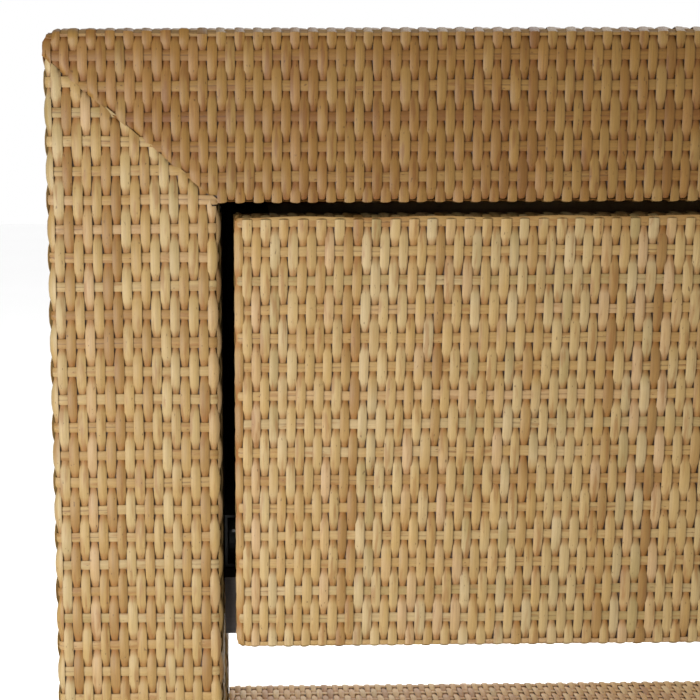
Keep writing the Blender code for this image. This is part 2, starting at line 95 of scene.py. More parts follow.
class RoundedPath:
    """A chain of straight runs with rounded corners, read by the length along it.

    A corner that turns by an angle is an arc of the given radius, which touches both runs at
    radius * tan(angle / 2) from the corner. The outward normal is the direction of travel turned a
    quarter turn to the left, or to the right on a closed path that runs counter-clockwise.
    """

    ARC_POINTS = 13

    def __init__(self, corners: Sequence[Sequence[float]], radii: Sequence[float], closed: bool = False):
        """Works out the table of lengths, points and normals.

        Args:
            corners: The corner points, and the two ends of an open path.
            radii: The radius at each of them; the ends of an open path take 0.
            closed: Whether the last corner runs on to the first.
        """
        points = np.array(corners, float)
        count = len(points)
        side = -1.0 if closed else 1.0
        spots: list[Array] = []
        normals: list[Array] = []
        for index in range(count):
            here = points[index]
            at_end = not closed and index in (0, count - 1)
            if at_end:
                other = points[1] - here if index == 0 else here - points[-2]
                heading = other / np.hypot(*other)
                spots.append(here[None])
                normals.append(side * np.array([[-heading[1], heading[0]]]))
                continue
            before = here - points[index - 1]
            after = points[(index + 1) % count] - here
            before = before / np.hypot(*before)
            after = after / np.hypot(*after)
            turn = math.atan2(before[0] * after[1] - before[1] * after[0], float(before @ after))
            radius = radii[index]
            start = here - before * radius * math.tan(abs(turn) / 2)
            left = np.array([-before[1], before[0]])
            centre = start + left * radius * np.sign(turn)
            angles = np.linspace(0.0, turn, self.ARC_POINTS)
            cos, sin = np.cos(angles)[:, None], np.sin(angles)[:, None]
            spoke = start - centre
            spots.append(centre + cos * spoke + sin * np.array([-spoke[1], spoke[0]]))
            normals.append(side * (cos * left + sin * np.array([-left[1], left[0]])))
        if closed:
            spots.append(spots[0][:1])
            normals.append(normals[0][:1])
        self.spots = np.concatenate(spots)
        self.normals = np.concatenate(normals)
        steps = np.hypot(*np.diff(self.spots, axis=0).T)
        self.lengths = np.concatenate([[0.0], np.cumsum(steps)])
        self.closed = closed

    @property
    def total(self) -> float:
        """The whole length of the path."""
        return float(self.lengths[-1])

    def at(self, length: Array) -> tuple[Array, Array, Array, Array]:
        """Both coordinates of the point at each length, then both of its outward normal."""
        if self.closed:
            length = np.mod(length, self.total)
        columns = [self.spots[:, 0], self.spots[:, 1], self.normals[:, 0], self.normals[:, 1]]
        first, second, out_first, out_second = (np.interp(length, self.lengths, column) for column in columns)
        return first, second, out_first, out_second

    def find(self, axis: int, value: Array | float, first: float, last: float) -> Array:
        """The length at which a coordinate takes a value, between two shares of the path.

        Args:
            axis: 0 or 1, the coordinate that is read.
            value: The value or values that it takes.
            first: Where the search begins, as a share of the whole length.
            last: Where it ends.

        Returns:
            The length for each value.
        """
        lengths = np.linspace(first, last, SEARCH_STEPS) * self.total
        coordinate = self.at(lengths)[axis]
        order = np.argsort(coordinate, kind="stable")
        return np.interp(value, coordinate[order], lengths[order])


@dataclass(frozen=True)
class Edge:
    """An outer edge that is rounded off: two faces, each an axis, a side (0 for both) and a distance."""

    first: tuple[int, int, float]
    second: tuple[int, int, float]
    radius: float

    def apply(self, points: Array) -> None:
        """Rounds points in place: (a, b) from the arc's centre goes to (a, b) * max(a, b) / hypot(a, b)."""
        reach = []
        for axis, side, face in (self.first, self.second):
            value = np.abs(points[..., axis]) if side == 0 else side * points[..., axis]
            reach.append(value - (side or 1) * face + self.radius)
        inside = (reach[0] > 0) & (reach[1] > 0)
        span = np.hypot(reach[0], reach[1])
        scale = np.where(inside, np.maximum(reach[0], reach[1]) / np.where(span > 0, span, 1.0), 1.0)
        for (axis, side, _), value in zip((self.first, self.second), reach):
            way = np.sign(points[..., axis]) if side == 0 else float(side)
            points[..., axis] += np.where(inside, way * value * (scale - 1.0), 0.0)


@dataclass
class Sheet:
    """A surface swept from a path, with lifts measured outwards from it."""

    path: RoundedPath
    plane: Plane
    edges: tuple[Edge, ...] = ()
    flip: tuple[int, int, int] = (1, 1, 1)
    bend: Callable[[Array], None] | None = None

    def place(self, along: Array, across: Array, lift: Array) -> Array:
        """Points in space: the path's point at along, moved out by lift, with across on the third axis.

        Args:
            along: Lengths on the path.
            across: Positions on the axis that crosses it.
            lift: Heights above the path.

        Returns:
            An array with one more dimension, of three coordinates.
        """
        first, second, third = self.plane.value
        a, b, out_a, out_b = self.path.at(along)
        points = np.empty((*along.shape, 3))
        points[..., first] = a + out_a * lift
        points[..., second] = b + out_b * lift
        points[..., third] = across
        if self.bend:
            self.bend(points)
        for edge in self.edges:
            edge.apply(points)
        return points * np.array(self.flip, float)


@dataclass(frozen=True)
class Section:
    """A strand's cross-section: offsets as shares of its half width, and heights in metres, going round."""

    across: tuple[float, ...]
    height: tuple[float, ...]
    ridge: tuple[float, ...]


FINE_STAKE = Section(
    (-1.0, -0.55, 0.0, 0.55, 1.0, 0.0),
    (-0.00010, 0.00022, 0.00033, 0.00022, -0.00010, -0.00035),
    (0.0, 0.0, 1.0, 0.0, 0.0, 0.0),
)
PLAIN_STAKE = Section(
    (-1.0, -0.5, 0.5, 1.0, 0.0),
    (-0.00010, 0.00026, 0.00026, -0.00010, -0.00035),
    (0.0, 0.0, 0.0, 0.0, 0.0),
)
FINE_WEAVER = Section(
    (-1.0, -0.5, 0.0, 0.5, 1.0, 0.0),
    (-0.00012, 0.00020, 0.00026, 0.00020, -0.00012, -0.00024),
    (0.0, 0.3, -1.0, 0.3, 0.0, 0.0),
)
PLAIN_WEAVER = Section(
    (-1.0, -0.5, 0.5, 1.0, 0.0),
    (-0.00012, 0.00022, 0.00022, -0.00012, -0.00024),
    (0.0, 0.0, 0.0, 0.0, 0.0),
)


@dataclass
class Strands:
    """Many strands in one mesh: a block of stations, each a ring of points, with what the finish reads."""

    points: Array
    peel: Array
    tint_and_shade: Array
    closed: bool

    def faces(self) -> tuple[Array, Array]:
        """The corners of every face one after another, and where each face begins."""
        count, stations, ring = self.points.shape[:3]
        index = np.arange(count * stations * ring).reshape(count, stations, ring)
        ahead = np.roll(index, -1, axis=1) if self.closed else index[:, 1:]
        behind = index if self.closed else index[:, :-1]
        quads = np.stack([behind, np.roll(behind, -1, 2), np.roll(ahead, -1, 2), ahead], -1).reshape(-1, 4)
        loops = quads.reshape(-1)
        starts = np.arange(len(quads)) * 4
        if not self.closed:
            caps = np.concatenate([index[:, 0, ::-1], index[:, -1]])
            starts = np.concatenate([starts, len(loops) + np.arange(len(caps)) * ring])
            loops = np.concatenate([loops, caps.reshape(-1)])
        return loops, starts

    def outward(self, loops: Array, starts: Array) -> Array:
        """The face corners, turned round if the strands' volume, the sum of a . (b x c) / 6, is negative."""
        points = self.points.reshape(-1, 3)
        quads = loops[: len(points) * 4 if self.closed else int(starts[-1])]
        quads = quads[: len(quads) // 4 * 4].reshape(-1, 4)
        corners = points[quads] - points.mean(0)
        first = np.einsum("ij,ij->i", corners[:, 0], np.cross(corners[:, 1], corners[:, 2])).sum()
        second = np.einsum("ij,ij->i", corners[:, 0], np.cross(corners[:, 2], corners[:, 3])).sum()
        if first + second >= 0:
            return loops
        ends = np.append(starts[1:], len(loops))
        sizes = ends - starts
        order = np.repeat(ends - 1, sizes) - (np.arange(len(loops)) - np.repeat(starts, sizes))
        return loops[order]

    def make(self, name: str) -> bpy.types.Object:
        """The strands as one object with smooth faces and sharp edges.

        Args:
            name: The piece's name.

        Returns:
            The new object, in the scene.
        """
        loops, starts = self.faces()
        loops = self.outward(loops, starts)
        mesh = bpy.data.meshes.new(name)
        mesh.vertices.add(self.points.size // 3)
        mesh.vertices.foreach_set("co", self.points.astype(np.float32).reshape(-1))
        mesh.loops.add(len(loops))
        mesh.loops.foreach_set("vertex_index", loops.astype(np.int32))
        mesh.polygons.add(len(starts))
        mesh.polygons.foreach_set("loop_start", starts.astype(np.int32))
        mesh.update(calc_edges=True)
        mesh.shade_smooth()
        mesh.set_sharp_from_angle(angle=SHARP_ANGLE)
        for key, values in (("peel", self.peel), ("tint_and_shade", self.tint_and_shade)):
            layer = mesh.attributes.new(key, "FLOAT_VECTOR", "POINT")
            layer.data.foreach_set("vector", values.astype(np.float32).reshape(-1))
        piece = bpy.data.objects.new(name, mesh)
        bpy.context.scene.collection.objects.link(piece)
        return piece


@dataclass
class Weave:
    """Stakes and weavers over one sheet.

    A stake's phase is pi times its row number plus pi times its column number, so it rises over every
    second row and its neighbours rise over the others. The weaver that it crosses leans the other way.
    Widths are at a float's middle; rise and sway are the strands' swings. A stake keeps its width for
    taper_from of the way from a float's middle to a weaver's, and is down to pinch of it at taper_to. Its
    underside reaches down to the keel, and its ends dip by tuck.
    """

    END_FADE = 0.008
    END_SLOPE = 0.003
    TUCK_FADE = 0.0012
    SPLIT_RIDGE = 0.00020
    UNDERSIDE = -0.0002
    STAKE_WANDER = 0.00010
    STAKE_SCATTER = 0.00024
    LIFT_SCATTER = 0.00016
    TILT_SCATTER = 0.00034
    TILT_WAVE = 0.00008
    WEAVER_WANDER = 0.00022
    WEAVER_DROP = 0.0001
    WEAVER_TILT = 0.00014
    WEAVER_TILT_WAVE = 0.00004
    # Weavers lie lower than the floats: this fixed level gives them part of the painted dip shade in the peel
    # finish.
    WEAVER_SHADE_LEVEL = 0.40

    sheet: Sheet
    columns: Array
    rows: Array
    seed: int
    stakes_follow: bool = True
    fine: bool = True
    first_column: int = 0
    first_row: int = 0
    stake_width: float = 0.00428
    weaver_width: float = 0.0043
    rise: float = 0.00078
    sway: float = 0.00015
    pinch: float = 0.60
    keel: float = 0.00135
    tuck: float = 0.0008
    taper_from: float = 0.50
    taper_to: float = 0.88

    def _number(self, value: Array, marks: Array) -> Array:
        """The fractional number of a position among marks, carried on evenly past both ends."""
        count = len(marks)
        number = np.interp(value, marks, np.arange(count))
        number += np.minimum(value - marks[0], 0) / (marks[1] - marks[0])
        return number + np.maximum(value - marks[-1], 0) / (marks[-1] - marks[-2])

    def _stations(self, low: Array, high: Array, step: float) -> Array:
        """Evenly spaced stations for every strand, from its low end to its high end."""
        count = int(math.ceil(float((high - low).max()) / step)) + 1
        return low[:, None] + (high - low)[:, None] * np.linspace(0.0, 1.0, count)[None]

    def _trim(self, run: Array, cross: Array, centre: Array, limit: Limit, end: int) -> Array:
        """How far each point shifts along its strand so that the strand's end follows a slanting limit.

        Args:
            run: Stations, strand by strand.
            cross: Where each point of each ring lies across the strands.
            centre: The middle of each strand.
            limit: The end of a strand as a function of where it lies.
            end: 0 for the low end and -1 for the high end.

        Returns:
            The shift, which fades to nothing at END_FADE from the end.
        """
        near = np.abs(run - run[:, [end]])
        fade = np.clip(1.0 - near / self.END_FADE, 0.0, 1.0)[..., None]
        slope = np.clip(limit(cross) - limit(centre)[:, None, None], -self.END_SLOPE, self.END_SLOPE)
        return slope * fade

    def stakes(self, low: Limit, high: Limit, step: float, keep: Array | None = None) -> Strands:
        """The stakes of the sheet.

        With c the cosine of the phase, their lift is rise * (1.4 * c - 0.4 * c ** 3). They keep their width
        where they float, and taper in a straight line to pinch times that under a weaver.

        Args:
            low: The low end as a function of the column's position.
            high: The high end.
            step: The distance between stations.
            keep: The numbers of the columns that are made, or None for all.

        Returns:
            The strands.
        """
        chosen = np.arange(len(self.columns)) if keep is None else keep
        random = np.random.default_rng(self.seed)
        draws = random.random((len(self.columns), 8))[chosen]
        centre = self.columns[chosen]
        run = self._stations(low(centre), high(centre), step)
        phase = math.pi * (self._number(run, self.rows) + (chosen + self.first_column)[:, None])
        crest = np.cos(phase)
        away = np.arccos(np.clip(crest, -1.0, 1.0)) / math.pi
        wave = np.sin(2 * math.pi * (run / (0.05 + 0.09 * draws[:, [0]]) + draws[:, [1]]))
        middle = centre[:, None] + self.STAKE_WANDER * wave + self.STAKE_SCATTER * (draws[:, [2]] - 0.5)
        narrow = np.clip((away - self.taper_from) / (self.taper_to - self.taper_from), 0.0, 1.0)
        half = self.stake_width / 2 * (1.0 - (1.0 - self.pinch) * narrow)
        half = half * (1.0 + 0.07 * (draws[:, [3]] - 0.5) + 0.03 * wave)
        near = np.minimum(np.abs(run - run[:, :1]), np.abs(run - run[:, -1:]))
        lift = self.rise * (1.4 * crest - 0.4 * crest**3) + self.LIFT_SCATTER * (draws[:, [4]] - 0.5)
        lift = lift - self.tuck * np.exp(-near / self.TUCK_FADE)
        tilt = self.TILT_SCATTER * (draws[:, [5]] - 0.5) + self.TILT_WAVE * wave
        section = FINE_STAKE if self.fine else PLAIN_STAKE
        return self._sweep(section, run, middle, half, lift, tilt, centre, (low, high), draws, crest, False)

    def weavers(self, low: Limit, high: Limit, per_column: int, keep: Array, closed: bool = False) -> Strands:
        """The weavers of the sheet.

        Their lift is -sway * cos(phase) of the stake they cross. Some are two thin strands side by side.

        Args:
            low: The low end as a function of the row's position.
            high: The high end.
            per_column: How many stations each column has.
            keep: The numbers of the rows that are made.
            closed: Whether each weaver runs round into itself.

        Returns:
            The strands.
        """
        random = np.random.default_rng(self.seed + 1)
        draws = random.random((len(self.rows), 8))[keep]
        centre = self.rows[keep]
        pitch = float(self.columns[1] - self.columns[0])
        run = self._stations(low(centre), high(centre), pitch / per_column)
        if closed:
            run = run[:, :-1]
        crossing = self._number(run, self.columns) + self.first_column + keep[:, None] + self.first_row
        wave = np.sin(2 * math.pi * (run / (0.04 + 0.06 * draws[:, [0]]) + draws[:, [1]]))
        if closed:
            turns = np.round(1.5 + 4 * draws[:, [0]])
            wave = np.sin(2 * math.pi * (turns * run / self.sheet.path.total + draws[:, [1]]))
        middle = centre[:, None] + self.WEAVER_WANDER * wave
        half = self.weaver_width / 2 * (1.0 + 0.10 * (draws[:, [3]] - 0.5) + 0.05 * wave) * np.ones_like(run)
        lift = -self.sway * np.cos(math.pi * crossing) - self.WEAVER_DROP * draws[:, [4]]
        tilt = self.WEAVER_TILT * (draws[:, [5]] - 0.5) + self.WEAVER_TILT_WAVE * wave
        split = smoothstep(2.2 * (np.sin(run * (38.0 + 30.0 * draws[:, [6]]) + 6.3 * draws[:, [7]]) - 0.55))
        section = FINE_WEAVER if self.fine else PLAIN_WEAVER
        ends = (low, high)
        return self._sweep(section, run, middle, half, lift, tilt, centre, ends, draws, split, closed, split)

    def _sweep(
        self,
        section: Section,
        run: Array,
        middle: Array,
        half: Array,
        lift: Array,
        tilt: Array,
        centre: Array,
        limits: tuple[Limit, Limit],
        draws: Array,
        level: Array,
        closed: bool,
        split: Array | None = None,
    ) -> Strands:
        """Carries a cross-section along every strand.

        A ring's point lies at middle + share * half across, and at lift + height + tilt * share up.

        Args:
            section: The cross-section.
            run: Stations along each strand.
            middle: Where each station lies across the strands.
            half: Half its width.
            lift: Its height.
            tilt: How much higher its right edge is.
            centre: Where the strand as a whole lies.
            limits: The low and high ends, as functions of where a point lies.
            draws: Random numbers, eight for each strand.
            level: How far up a stake is at each station, from -1 to 1; for a weaver, the same as split.
            closed: Whether the strands run round into themselves.
            split: How far each station of a weaver is parted along its middle; None for stakes.

        Returns:
            The strands.
        """
        share = np.array(section.across)
        height = np.array(section.height)
        groove = np.array(section.ridge) * self.SPLIT_RIDGE
        cross = middle[..., None] + share * half[..., None]
        up = lift[..., None] + height + tilt[..., None] * share
        weavers = split is not None
        if weavers:
            up = up + groove * split[..., None]
        else:
            up[..., -1] = np.minimum(up[..., -1], -self.keel)
        reach = np.broadcast_to(run[..., None], cross.shape).copy()
        if not closed:
            low_shift = self._trim(run, cross, centre, limits[0], 0)
            reach += low_shift + self._trim(run, cross, centre, limits[1], -1)
        if weavers == self.stakes_follow:
            points = self.sheet.place(cross, reach, up)
        else:
            points = self.sheet.place(reach, cross, up)
        shape = cross.shape
        peel = np.empty((*shape, 3))
        peel[..., 0] = reach
        peel[..., 1] = np.where(height < self.UNDERSIDE, 0.0, share)
        peel[..., 2] = np.broadcast_to(draws[:, None, None, 6], shape)
        tint_and_shade = np.empty((*shape, 3))
        tint_and_shade[..., 0] = np.broadcast_to(draws[:, None, None, 7], shape)
        # The second value says how far up each point lies. The peel finish paints shade where it is low, and
        # each ring's underside point gets 0, which is full painted shade.
        tint_and_shade[..., 1] = 0.5 + 0.5 * level[..., None] if not weavers else self.WEAVER_SHADE_LEVEL
        tint_and_shade[..., -1, 1] = 0.0
        tint_and_shade[..., 2] = level[..., None] if weavers else 0.0
        return Strands(points, peel, tint_and_shade, closed)


class Value:
    """A socket that takes part in an expression; each operation adds its Math node."""

    def __init__(self, graph: "Graph", socket: Any):
        """Keeps the graph and the socket."""
        self.graph = graph
        self.socket = socket

    def _math(self, operation: str, *values: Any) -> "Value":
        """One Math node of this operation on these values."""
        return self.graph.value("ShaderNodeMath", {"operation": operation}, dict(enumerate(values)))

    def __add__(self, other: Any) -> "Value":
        """The sum."""
        return self._math("ADD", self, other)

    def __radd__(self, other: Any) -> "Value":
        """The sum, from the right."""
        return self._math("ADD", other, self)

    def __sub__(self, other: Any) -> "Value":
        """The difference."""
        return self._math("SUBTRACT", self, other)

    def __rsub__(self, other: Any) -> "Value":
        """The difference, from the right."""
        return self._math("SUBTRACT", other, self)

    def __mul__(self, other: Any) -> "Value":
        """The product."""
        return self._math("MULTIPLY", self, other)

    def __rmul__(self, other: Any) -> "Value":
        """The product, from the right."""
        return self._math("MULTIPLY", other, self)

    def __abs__(self) -> "Value":
        """The size without its sign."""
        return self._math("ABSOLUTE", self)

    def ease(self, low: float, high: float) -> "Value":
        """Goes smoothly from 0 to 1 as the value goes from low to high."""
        settings = {"interpolation_type": "SMOOTHSTEP"}
        sockets = {"Value": self, "From Min": low, "From Max": high}
        return self.graph.value("ShaderNodeMapRange", settings, sockets)


class Graph:
    """A material's node tree, built through one method."""

    def __init__(self, name: str):
        """Makes the material with its shader and output.

        Args:
            name: The material's name.
        """
        self.material = bpy.data.materials.new(name)
        self.material.use_nodes = True
        self.tree = self.material.node_tree
        self.shader = self.tree.nodes["Principled BSDF"]

    def node(self, kind: str, settings: dict[str, Any], sockets: dict[Any, Any]) -> Any:
        """Adds a node.

        Args:
            kind: The node's type.
            settings: Its properties, set first; "stops" holds a ramp's (position, colour) pairs.
            sockets: Values or links of its input sockets, by name or number.

        Returns:
            The node.
        """
        made = self.tree.nodes.new(kind)
        for key, setting in settings.items():
            if key == "stops":
                self._stops(made.color_ramp, setting)
            else:
                setattr(made, key, setting)
        for key, given in sockets.items():
            self.feed(made.inputs[key], given)
        return made

    def _stops(self, ramp: Any, stops: Sequence[tuple[float, Sequence[float]]]) -> None:
        """Sets a ramp's stops, each a position and a colour."""
        while len(ramp.elements) < len(stops):
            ramp.elements.new(0.5)
        for element, (position, colour) in zip(ramp.elements, stops):
            element.position = position
            element.color = (*colour, 1.0)

    def feed(self, socket: Any, given: Any) -> None:
        """Links a socket to a value of the graph, or sets it to a number or colour."""
        if isinstance(given, Value):
            self.tree.links.new(given.socket, socket)
        elif isinstance(given, tuple) and len(given) == 3 and socket.type == "RGBA":
            socket.default_value = (*given, 1.0)
        else:
            socket.default_value = given

    def value(self, kind: str, settings: dict[str, Any], sockets: dict[Any, Any], output: Any = 0) -> Value:
        """One output of a new node, ready for an expression."""
        return Value(self, self.node(kind, settings, sockets).outputs[output])

    def mix(self, factor: Any, first: Any, second: Any, blend: str = "MIX") -> Value:
        """A blend of two colours by a factor."""
        settings = {"data_type": "RGBA", "blend_type": blend, "clamp_factor": True}
        return self.value("ShaderNodeMix", settings, {0: factor, 6: first, 7: second}, 2)

    def noise(self, where: Any, scale: float, detail: float = 2.0, rough: float = 0.5) -> Value:
        """A noise of this scale, detail and roughness, as a value about 0.5."""
        sockets = {"Vector": where, "Scale": scale, "Detail": detail, "Roughness": rough}
        return self.value("ShaderNodeTexNoise", {}, sockets)

    def vector(self, x: Any, y: Any, z: Any) -> Value:
        """Three values as one vector."""
        return self.value("ShaderNodeCombineXYZ", {}, {0: x, 1: y, 2: z})

    def split(self, vector: Value) -> tuple[Value, Value, Value]:
        """A vector's three values."""
        made = self.node("ShaderNodeSeparateXYZ", {}, {0: vector})
        return Value(self, made.outputs[0]), Value(self, made.outputs[1]), Value(self, made.outputs[2])

    def place(self) -> Value:
        """Object coordinates, in metres."""
        return self.value("ShaderNodeTexCoord", {}, {}, "Object")

    def finish(self, **sockets: Any) -> bpy.types.Material:
        """Feeds the shader's sockets, whose names use _ for a space, and gives the material."""
        for key, given in sockets.items():
            self.feed(self.shader.inputs[key.replace("_", " ")], given)
        return self.material

    def bump(self, height: Value, strength: float, distance: float) -> Value:
        """A normal from a height, in metres of distance."""
        sockets = {"Strength": strength, "Distance": distance, "Height": height}
        return self.value("ShaderNodeBump", {}, sockets)


Colour = tuple[float, float, float]


def from_bytes(red: int, green: int, blue: int) -> Colour:
    """A colour given as display values from 0 to 255, made linear: ((c + 0.055) / 1.055) ** 2.4."""
    shares = [value / 255 for value in (red, green, blue)]
    linear = [share / 12.92 if share <= 0.04045 else ((share + 0.055) / 1.055) ** 2.4 for share in shares]
    return linear[0], linear[1], linear[2]


@dataclass(frozen=True)
class PeelFinish:
    """Split rattan peel with a satin skin.

    Each strand takes its own colour from the palette. Along it run slow changes of tone, fine grain, a few
    orange stains and dark flecks. Painted shade makes it browner and darker where a stake dips under a
    weaver, a little on every weaver, on each strand's underside and towards its edges.
    """

    name: str
    tone: Colour = (1.0, 1.0, 1.0)
    palette: tuple[tuple[float, Colour], ...] = (
        (0.00, from_bytes(170, 126, 70)),
        (0.14, from_bytes(192, 153, 95)),
        (0.30, from_bytes(200, 165, 110)),
        (0.44, from_bytes(206, 175, 125)),
        (0.56, from_bytes(200, 162, 103)),
        (0.68, from_bytes(206, 168, 125)),
        (0.80, from_bytes(193, 153, 92)),
        (0.90, from_bytes(209, 180, 135)),
        (1.00, from_bytes(186, 157, 104)),
    )

    def dress(self) -> bpy.types.Material:
        """Builds the material.

        Returns:
            The material, which reads the attributes "peel" and "tint".
        """
        graph = Graph(self.name)
        peel = graph.value("ShaderNodeAttribute", {"attribute_name": "peel"}, {}, "Vector")
        tint_and_shade = graph.value("ShaderNodeAttribute", {"attribute_name": "tint_and_shade"}, {}, "Vector")
        along, across, own = graph.split(peel)
        other, level, pair = graph.split(tint_and_shade)
        slow = graph.noise(graph.vector(along * 22.0, own * 91.0, other * 57.0), 1.0, 2.0)
        choice = own + (slow - 0.5) * 0.55
        colour = graph.value("ShaderNodeValToRGB", {"stops": self.palette}, {0: choice})
        where = graph.vector(along * 45.0, across * 3.2 + own * 40.0, other * 83.0)
        streak = graph.noise(where, 1.0, 3.0, 0.6)
        where = graph.vector(along * 120.0, across * 9.0 + other * 60.0, own * 71.0)
        fine = graph.noise(where, 1.0, 2.0, 0.6)
        shade = 0.56 + 0.60 * streak + 0.28 * fine
        grey = graph.vector(shade, shade, shade)
        colour = graph.mix(1.0, colour, grey, "MULTIPLY")
        where = graph.vector(along * 60.0, across * 0.8 + own * 33.0, other * 29.0)
        stain = graph.noise(where, 1.0, 2.0).ease(0.53, 0.70)
        colour = graph.mix(stain * 0.55, colour, from_bytes(158, 104, 50))
        where = graph.vector(along * 420.0, across * 2.2 + own * 52.0, other * 13.0)
        fleck = graph.noise(where, 1.0, 1.0).ease(0.70, 0.77)
        colour = graph.mix(fleck * 0.6, colour, from_bytes(92, 58, 28))
        # Painted shade: browner and darker where a stake dips under a weaver, a little on weavers, and fully
        # on strand undersides.
        dip = 1.0 - level.ease(0.05, 0.52)
        colour = graph.mix(dip * 0.62, colour, from_bytes(168, 100, 24))
        # Painted shade: browner towards each strand's edges, where it curves down between its neighbours.
        rim = abs(across).ease(0.72, 1.0)
        colour = graph.mix(rim * 0.20, colour, from_bytes(150, 96, 40))
        line = (1.0 - abs(across).ease(0.03, 0.17)) * pair
        colour = graph.mix(line * 0.5, colour, from_bytes(96, 60, 28))
        colour = graph.mix(1.0, colour, self.tone, "MULTIPLY")
        rough = 0.42 + 0.16 * fine + 0.14 * dip
        normal = graph.bump(streak * 0.6 + fine * 0.4, 0.35, 0.00018)
        return graph.finish(
            Base_Color=colour, Roughness=rough, Normal=normal, IOR=1.46, Specular_IOR_Level=0.20
        )


@dataclass(frozen=True)
class TimberFinish:
    """Planed timber: long grain lines, slow bands and small pores, along one axis."""

    name: str
    light: Colour
    dark: Colour
    along: int = 2
    roughness: float = 0.6

    def dress(self) -> bpy.types.Material:
        """Builds the material.

        Returns:
            The material, which reads Object coordinates.
        """
        graph = Graph(self.name)
        x, y, z = graph.split(graph.place())
        sides = [x, y, z]
        length = sides.pop(self.along)
        first, second = sides
        warp = graph.noise(graph.vector(length * 3.0, first * 12.0, second * 12.0), 1.0, 2.0)
        where = graph.vector(length * 2.0, first * 70.0 + warp * 3.0, second * 70.0)
        bands = graph.noise(where, 1.0, 3.0)
        pores = graph.noise(graph.vector(length * 60.0, first * 900.0, second * 900.0), 1.0, 2.0, 0.7)
        tone = bands.ease(0.35, 0.68) * 0.8 + pores.ease(0.4, 0.75) * 0.35
        colour = graph.mix(tone, self.light, self.dark)
        normal = graph.bump(bands * 0.6 + pores * 0.4, 0.25, 0.0003)
        rough = self.roughness + (pores - 0.5) * 0.2
        return graph.finish(Base_Color=colour, Roughness=rough, Normal=normal)


@dataclass(frozen=True)
class PlyFinish:
    """Lacquered sheet timber for the drawer: a wide, wandering figure under a thin clear coat."""

    name: str
    light: Colour = from_bytes(206, 172, 124)
    dark: Colour = from_bytes(158, 116, 70)

    def dress(self) -> bpy.types.Material:
        """Builds the material.

        Returns:
            The material, which reads Object coordinates.
        """
        graph = Graph(self.name)
        x, y, z = graph.split(graph.place())
        drift = graph.noise(graph.vector(x * 3.0, y * 4.0, z * 6.0), 1.0, 3.0)
        where = graph.vector(x * 5.0 + drift * 2.0, y * 9.0, z * 55.0 + drift * 5.0)
        figure = graph.noise(where, 1.0, 3.0, 0.55)
        pores = graph.noise(graph.vector(x * 260.0, y * 60.0, z * 700.0), 1.0, 2.0, 0.7)
        tone = figure.ease(0.36, 0.66) * 0.75 + pores.ease(0.5, 0.8) * 0.35
        colour = graph.mix(tone, self.light, self.dark)
        normal = graph.bump(pores, 0.15, 0.0002)
        rough = 0.34 + 0.2 * pores
        return graph.finish(Base_Color=colour, Roughness=rough, Normal=normal, Coat_Weight=0.15)


@dataclass(frozen=True)
class MetalFinish:
    """Metal with fine scratches and dull patches, bare or under a baked coating."""

    name: str
    colour: Colour
    metallic: float
    roughness: float

    def dress(self) -> bpy.types.Material:
        """Builds the material.

        Returns:
            The material, which reads Object coordinates.
        """
        graph = Graph(self.name)
        x, y, z = graph.split(graph.place())
        scratch = graph.noise(graph.vector(x * 400.0, y * 30.0, z * 400.0), 1.0, 3.0, 0.6)
        patch = graph.noise(graph.place(), 40.0, 2.0)
        worn = tuple(channel * 0.78 for channel in self.colour)
        colour = graph.mix(patch.ease(0.4, 0.8) * 0.6, self.colour, worn)
        rough = self.roughness + (scratch - 0.5) * 0.2 + (patch - 0.5) * 0.12
        normal = graph.bump(scratch, 0.12, 0.0001)
        return graph.finish(Base_Color=colour, Roughness=rough, Normal=normal, Metallic=self.metallic)


@dataclass(frozen=True)
class NylonFinish:
    """Moulded nylon: near-black, matt, with a fine spark-eroded texture and greyer patches."""

    name: str
    colour: Colour = from_bytes(40, 38, 38)

    def dress(self) -> bpy.types.Material:
        """Builds the material.

        Returns:
            The material, which reads Object coordinates.
        """
        graph = Graph(self.name)
        texture = graph.noise(graph.place(), 2200.0, 2.0)
        patch = graph.noise(graph.place(), 90.0, 2.0)
        colour = graph.mix(patch * 0.5, self.colour, from_bytes(58, 56, 55))
        normal = graph.bump(texture, 0.2, 0.0001)
        return graph.finish(Base_Color=colour, Roughness=0.46 + 0.14 * texture, Normal=normal)


LIGHT_PEEL = PeelFinish("peel_light", tone=(0.300, 0.305, 0.280))
# Painted shade: the legs' peel is a darker copy of the drawer's, in place of less light falling on the legs.
SHADED_LEG_PEEL = PeelFinish("peel_leg_painted_shade", tone=(0.273, 0.276, 0.243))
# Painted light: the shelf's peel is a lighter, warmer copy, in place of more light and reflection on the
# shelf.
LIT_SHELF_PEEL = PeelFinish("peel_shelf_painted_light", tone=(0.46, 0.42, 0.31))
TOP_PEEL = PeelFinish("peel_top", tone=(0.188, 0.150, 0.076))
TIMBER = TimberFinish("timber_stained", from_bytes(74, 48, 28), from_bytes(44, 27, 15))
DARK_TIMBER = TimberFinish("timber_dark", from_bytes(50, 33, 22), from_bytes(28, 18, 12), along=0)
PLY = PlyFinish("timber_lacquered")
COATED_STEEL = MetalFinish("steel_coated", from_bytes(46, 43, 40), 0.0, 0.45)
BLACKED = MetalFinish("steel_blackened", from_bytes(70, 68, 66), 0.8, 0.42)
NYLON = NylonFinish("nylon_dark")


def settle(strands: Strands, name: str, finish: bpy.types.Material, body: Body, stands_for: str) -> None:
    """Makes strands into a finished piece of the table.

    Args:
        strands: The strands.
        name: The piece's name.
        finish: Its material.
        body: The body that it rides on.
        stands_for: The solid skin whose place it takes.
    """
    piece = strands.make(name)
    piece.data.materials.append(finish)
    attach(piece, body.value)
    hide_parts(stands_for)
    LOG.info("%s: %d faces", name, len(piece.data.polygons))


def spread(low: float, high: float, pitch: float) -> Array:
    """Evenly spaced middles that fill a span, as near the pitch as a whole number allows."""
    count = max(2, round((high - low) / pitch))
    return low + (high - low) * (np.arange(count) + 0.5) / count


def level_at(value: float) -> Limit:
    """A limit that is the same everywhere."""
    return lambda where: np.full_like(where, value)


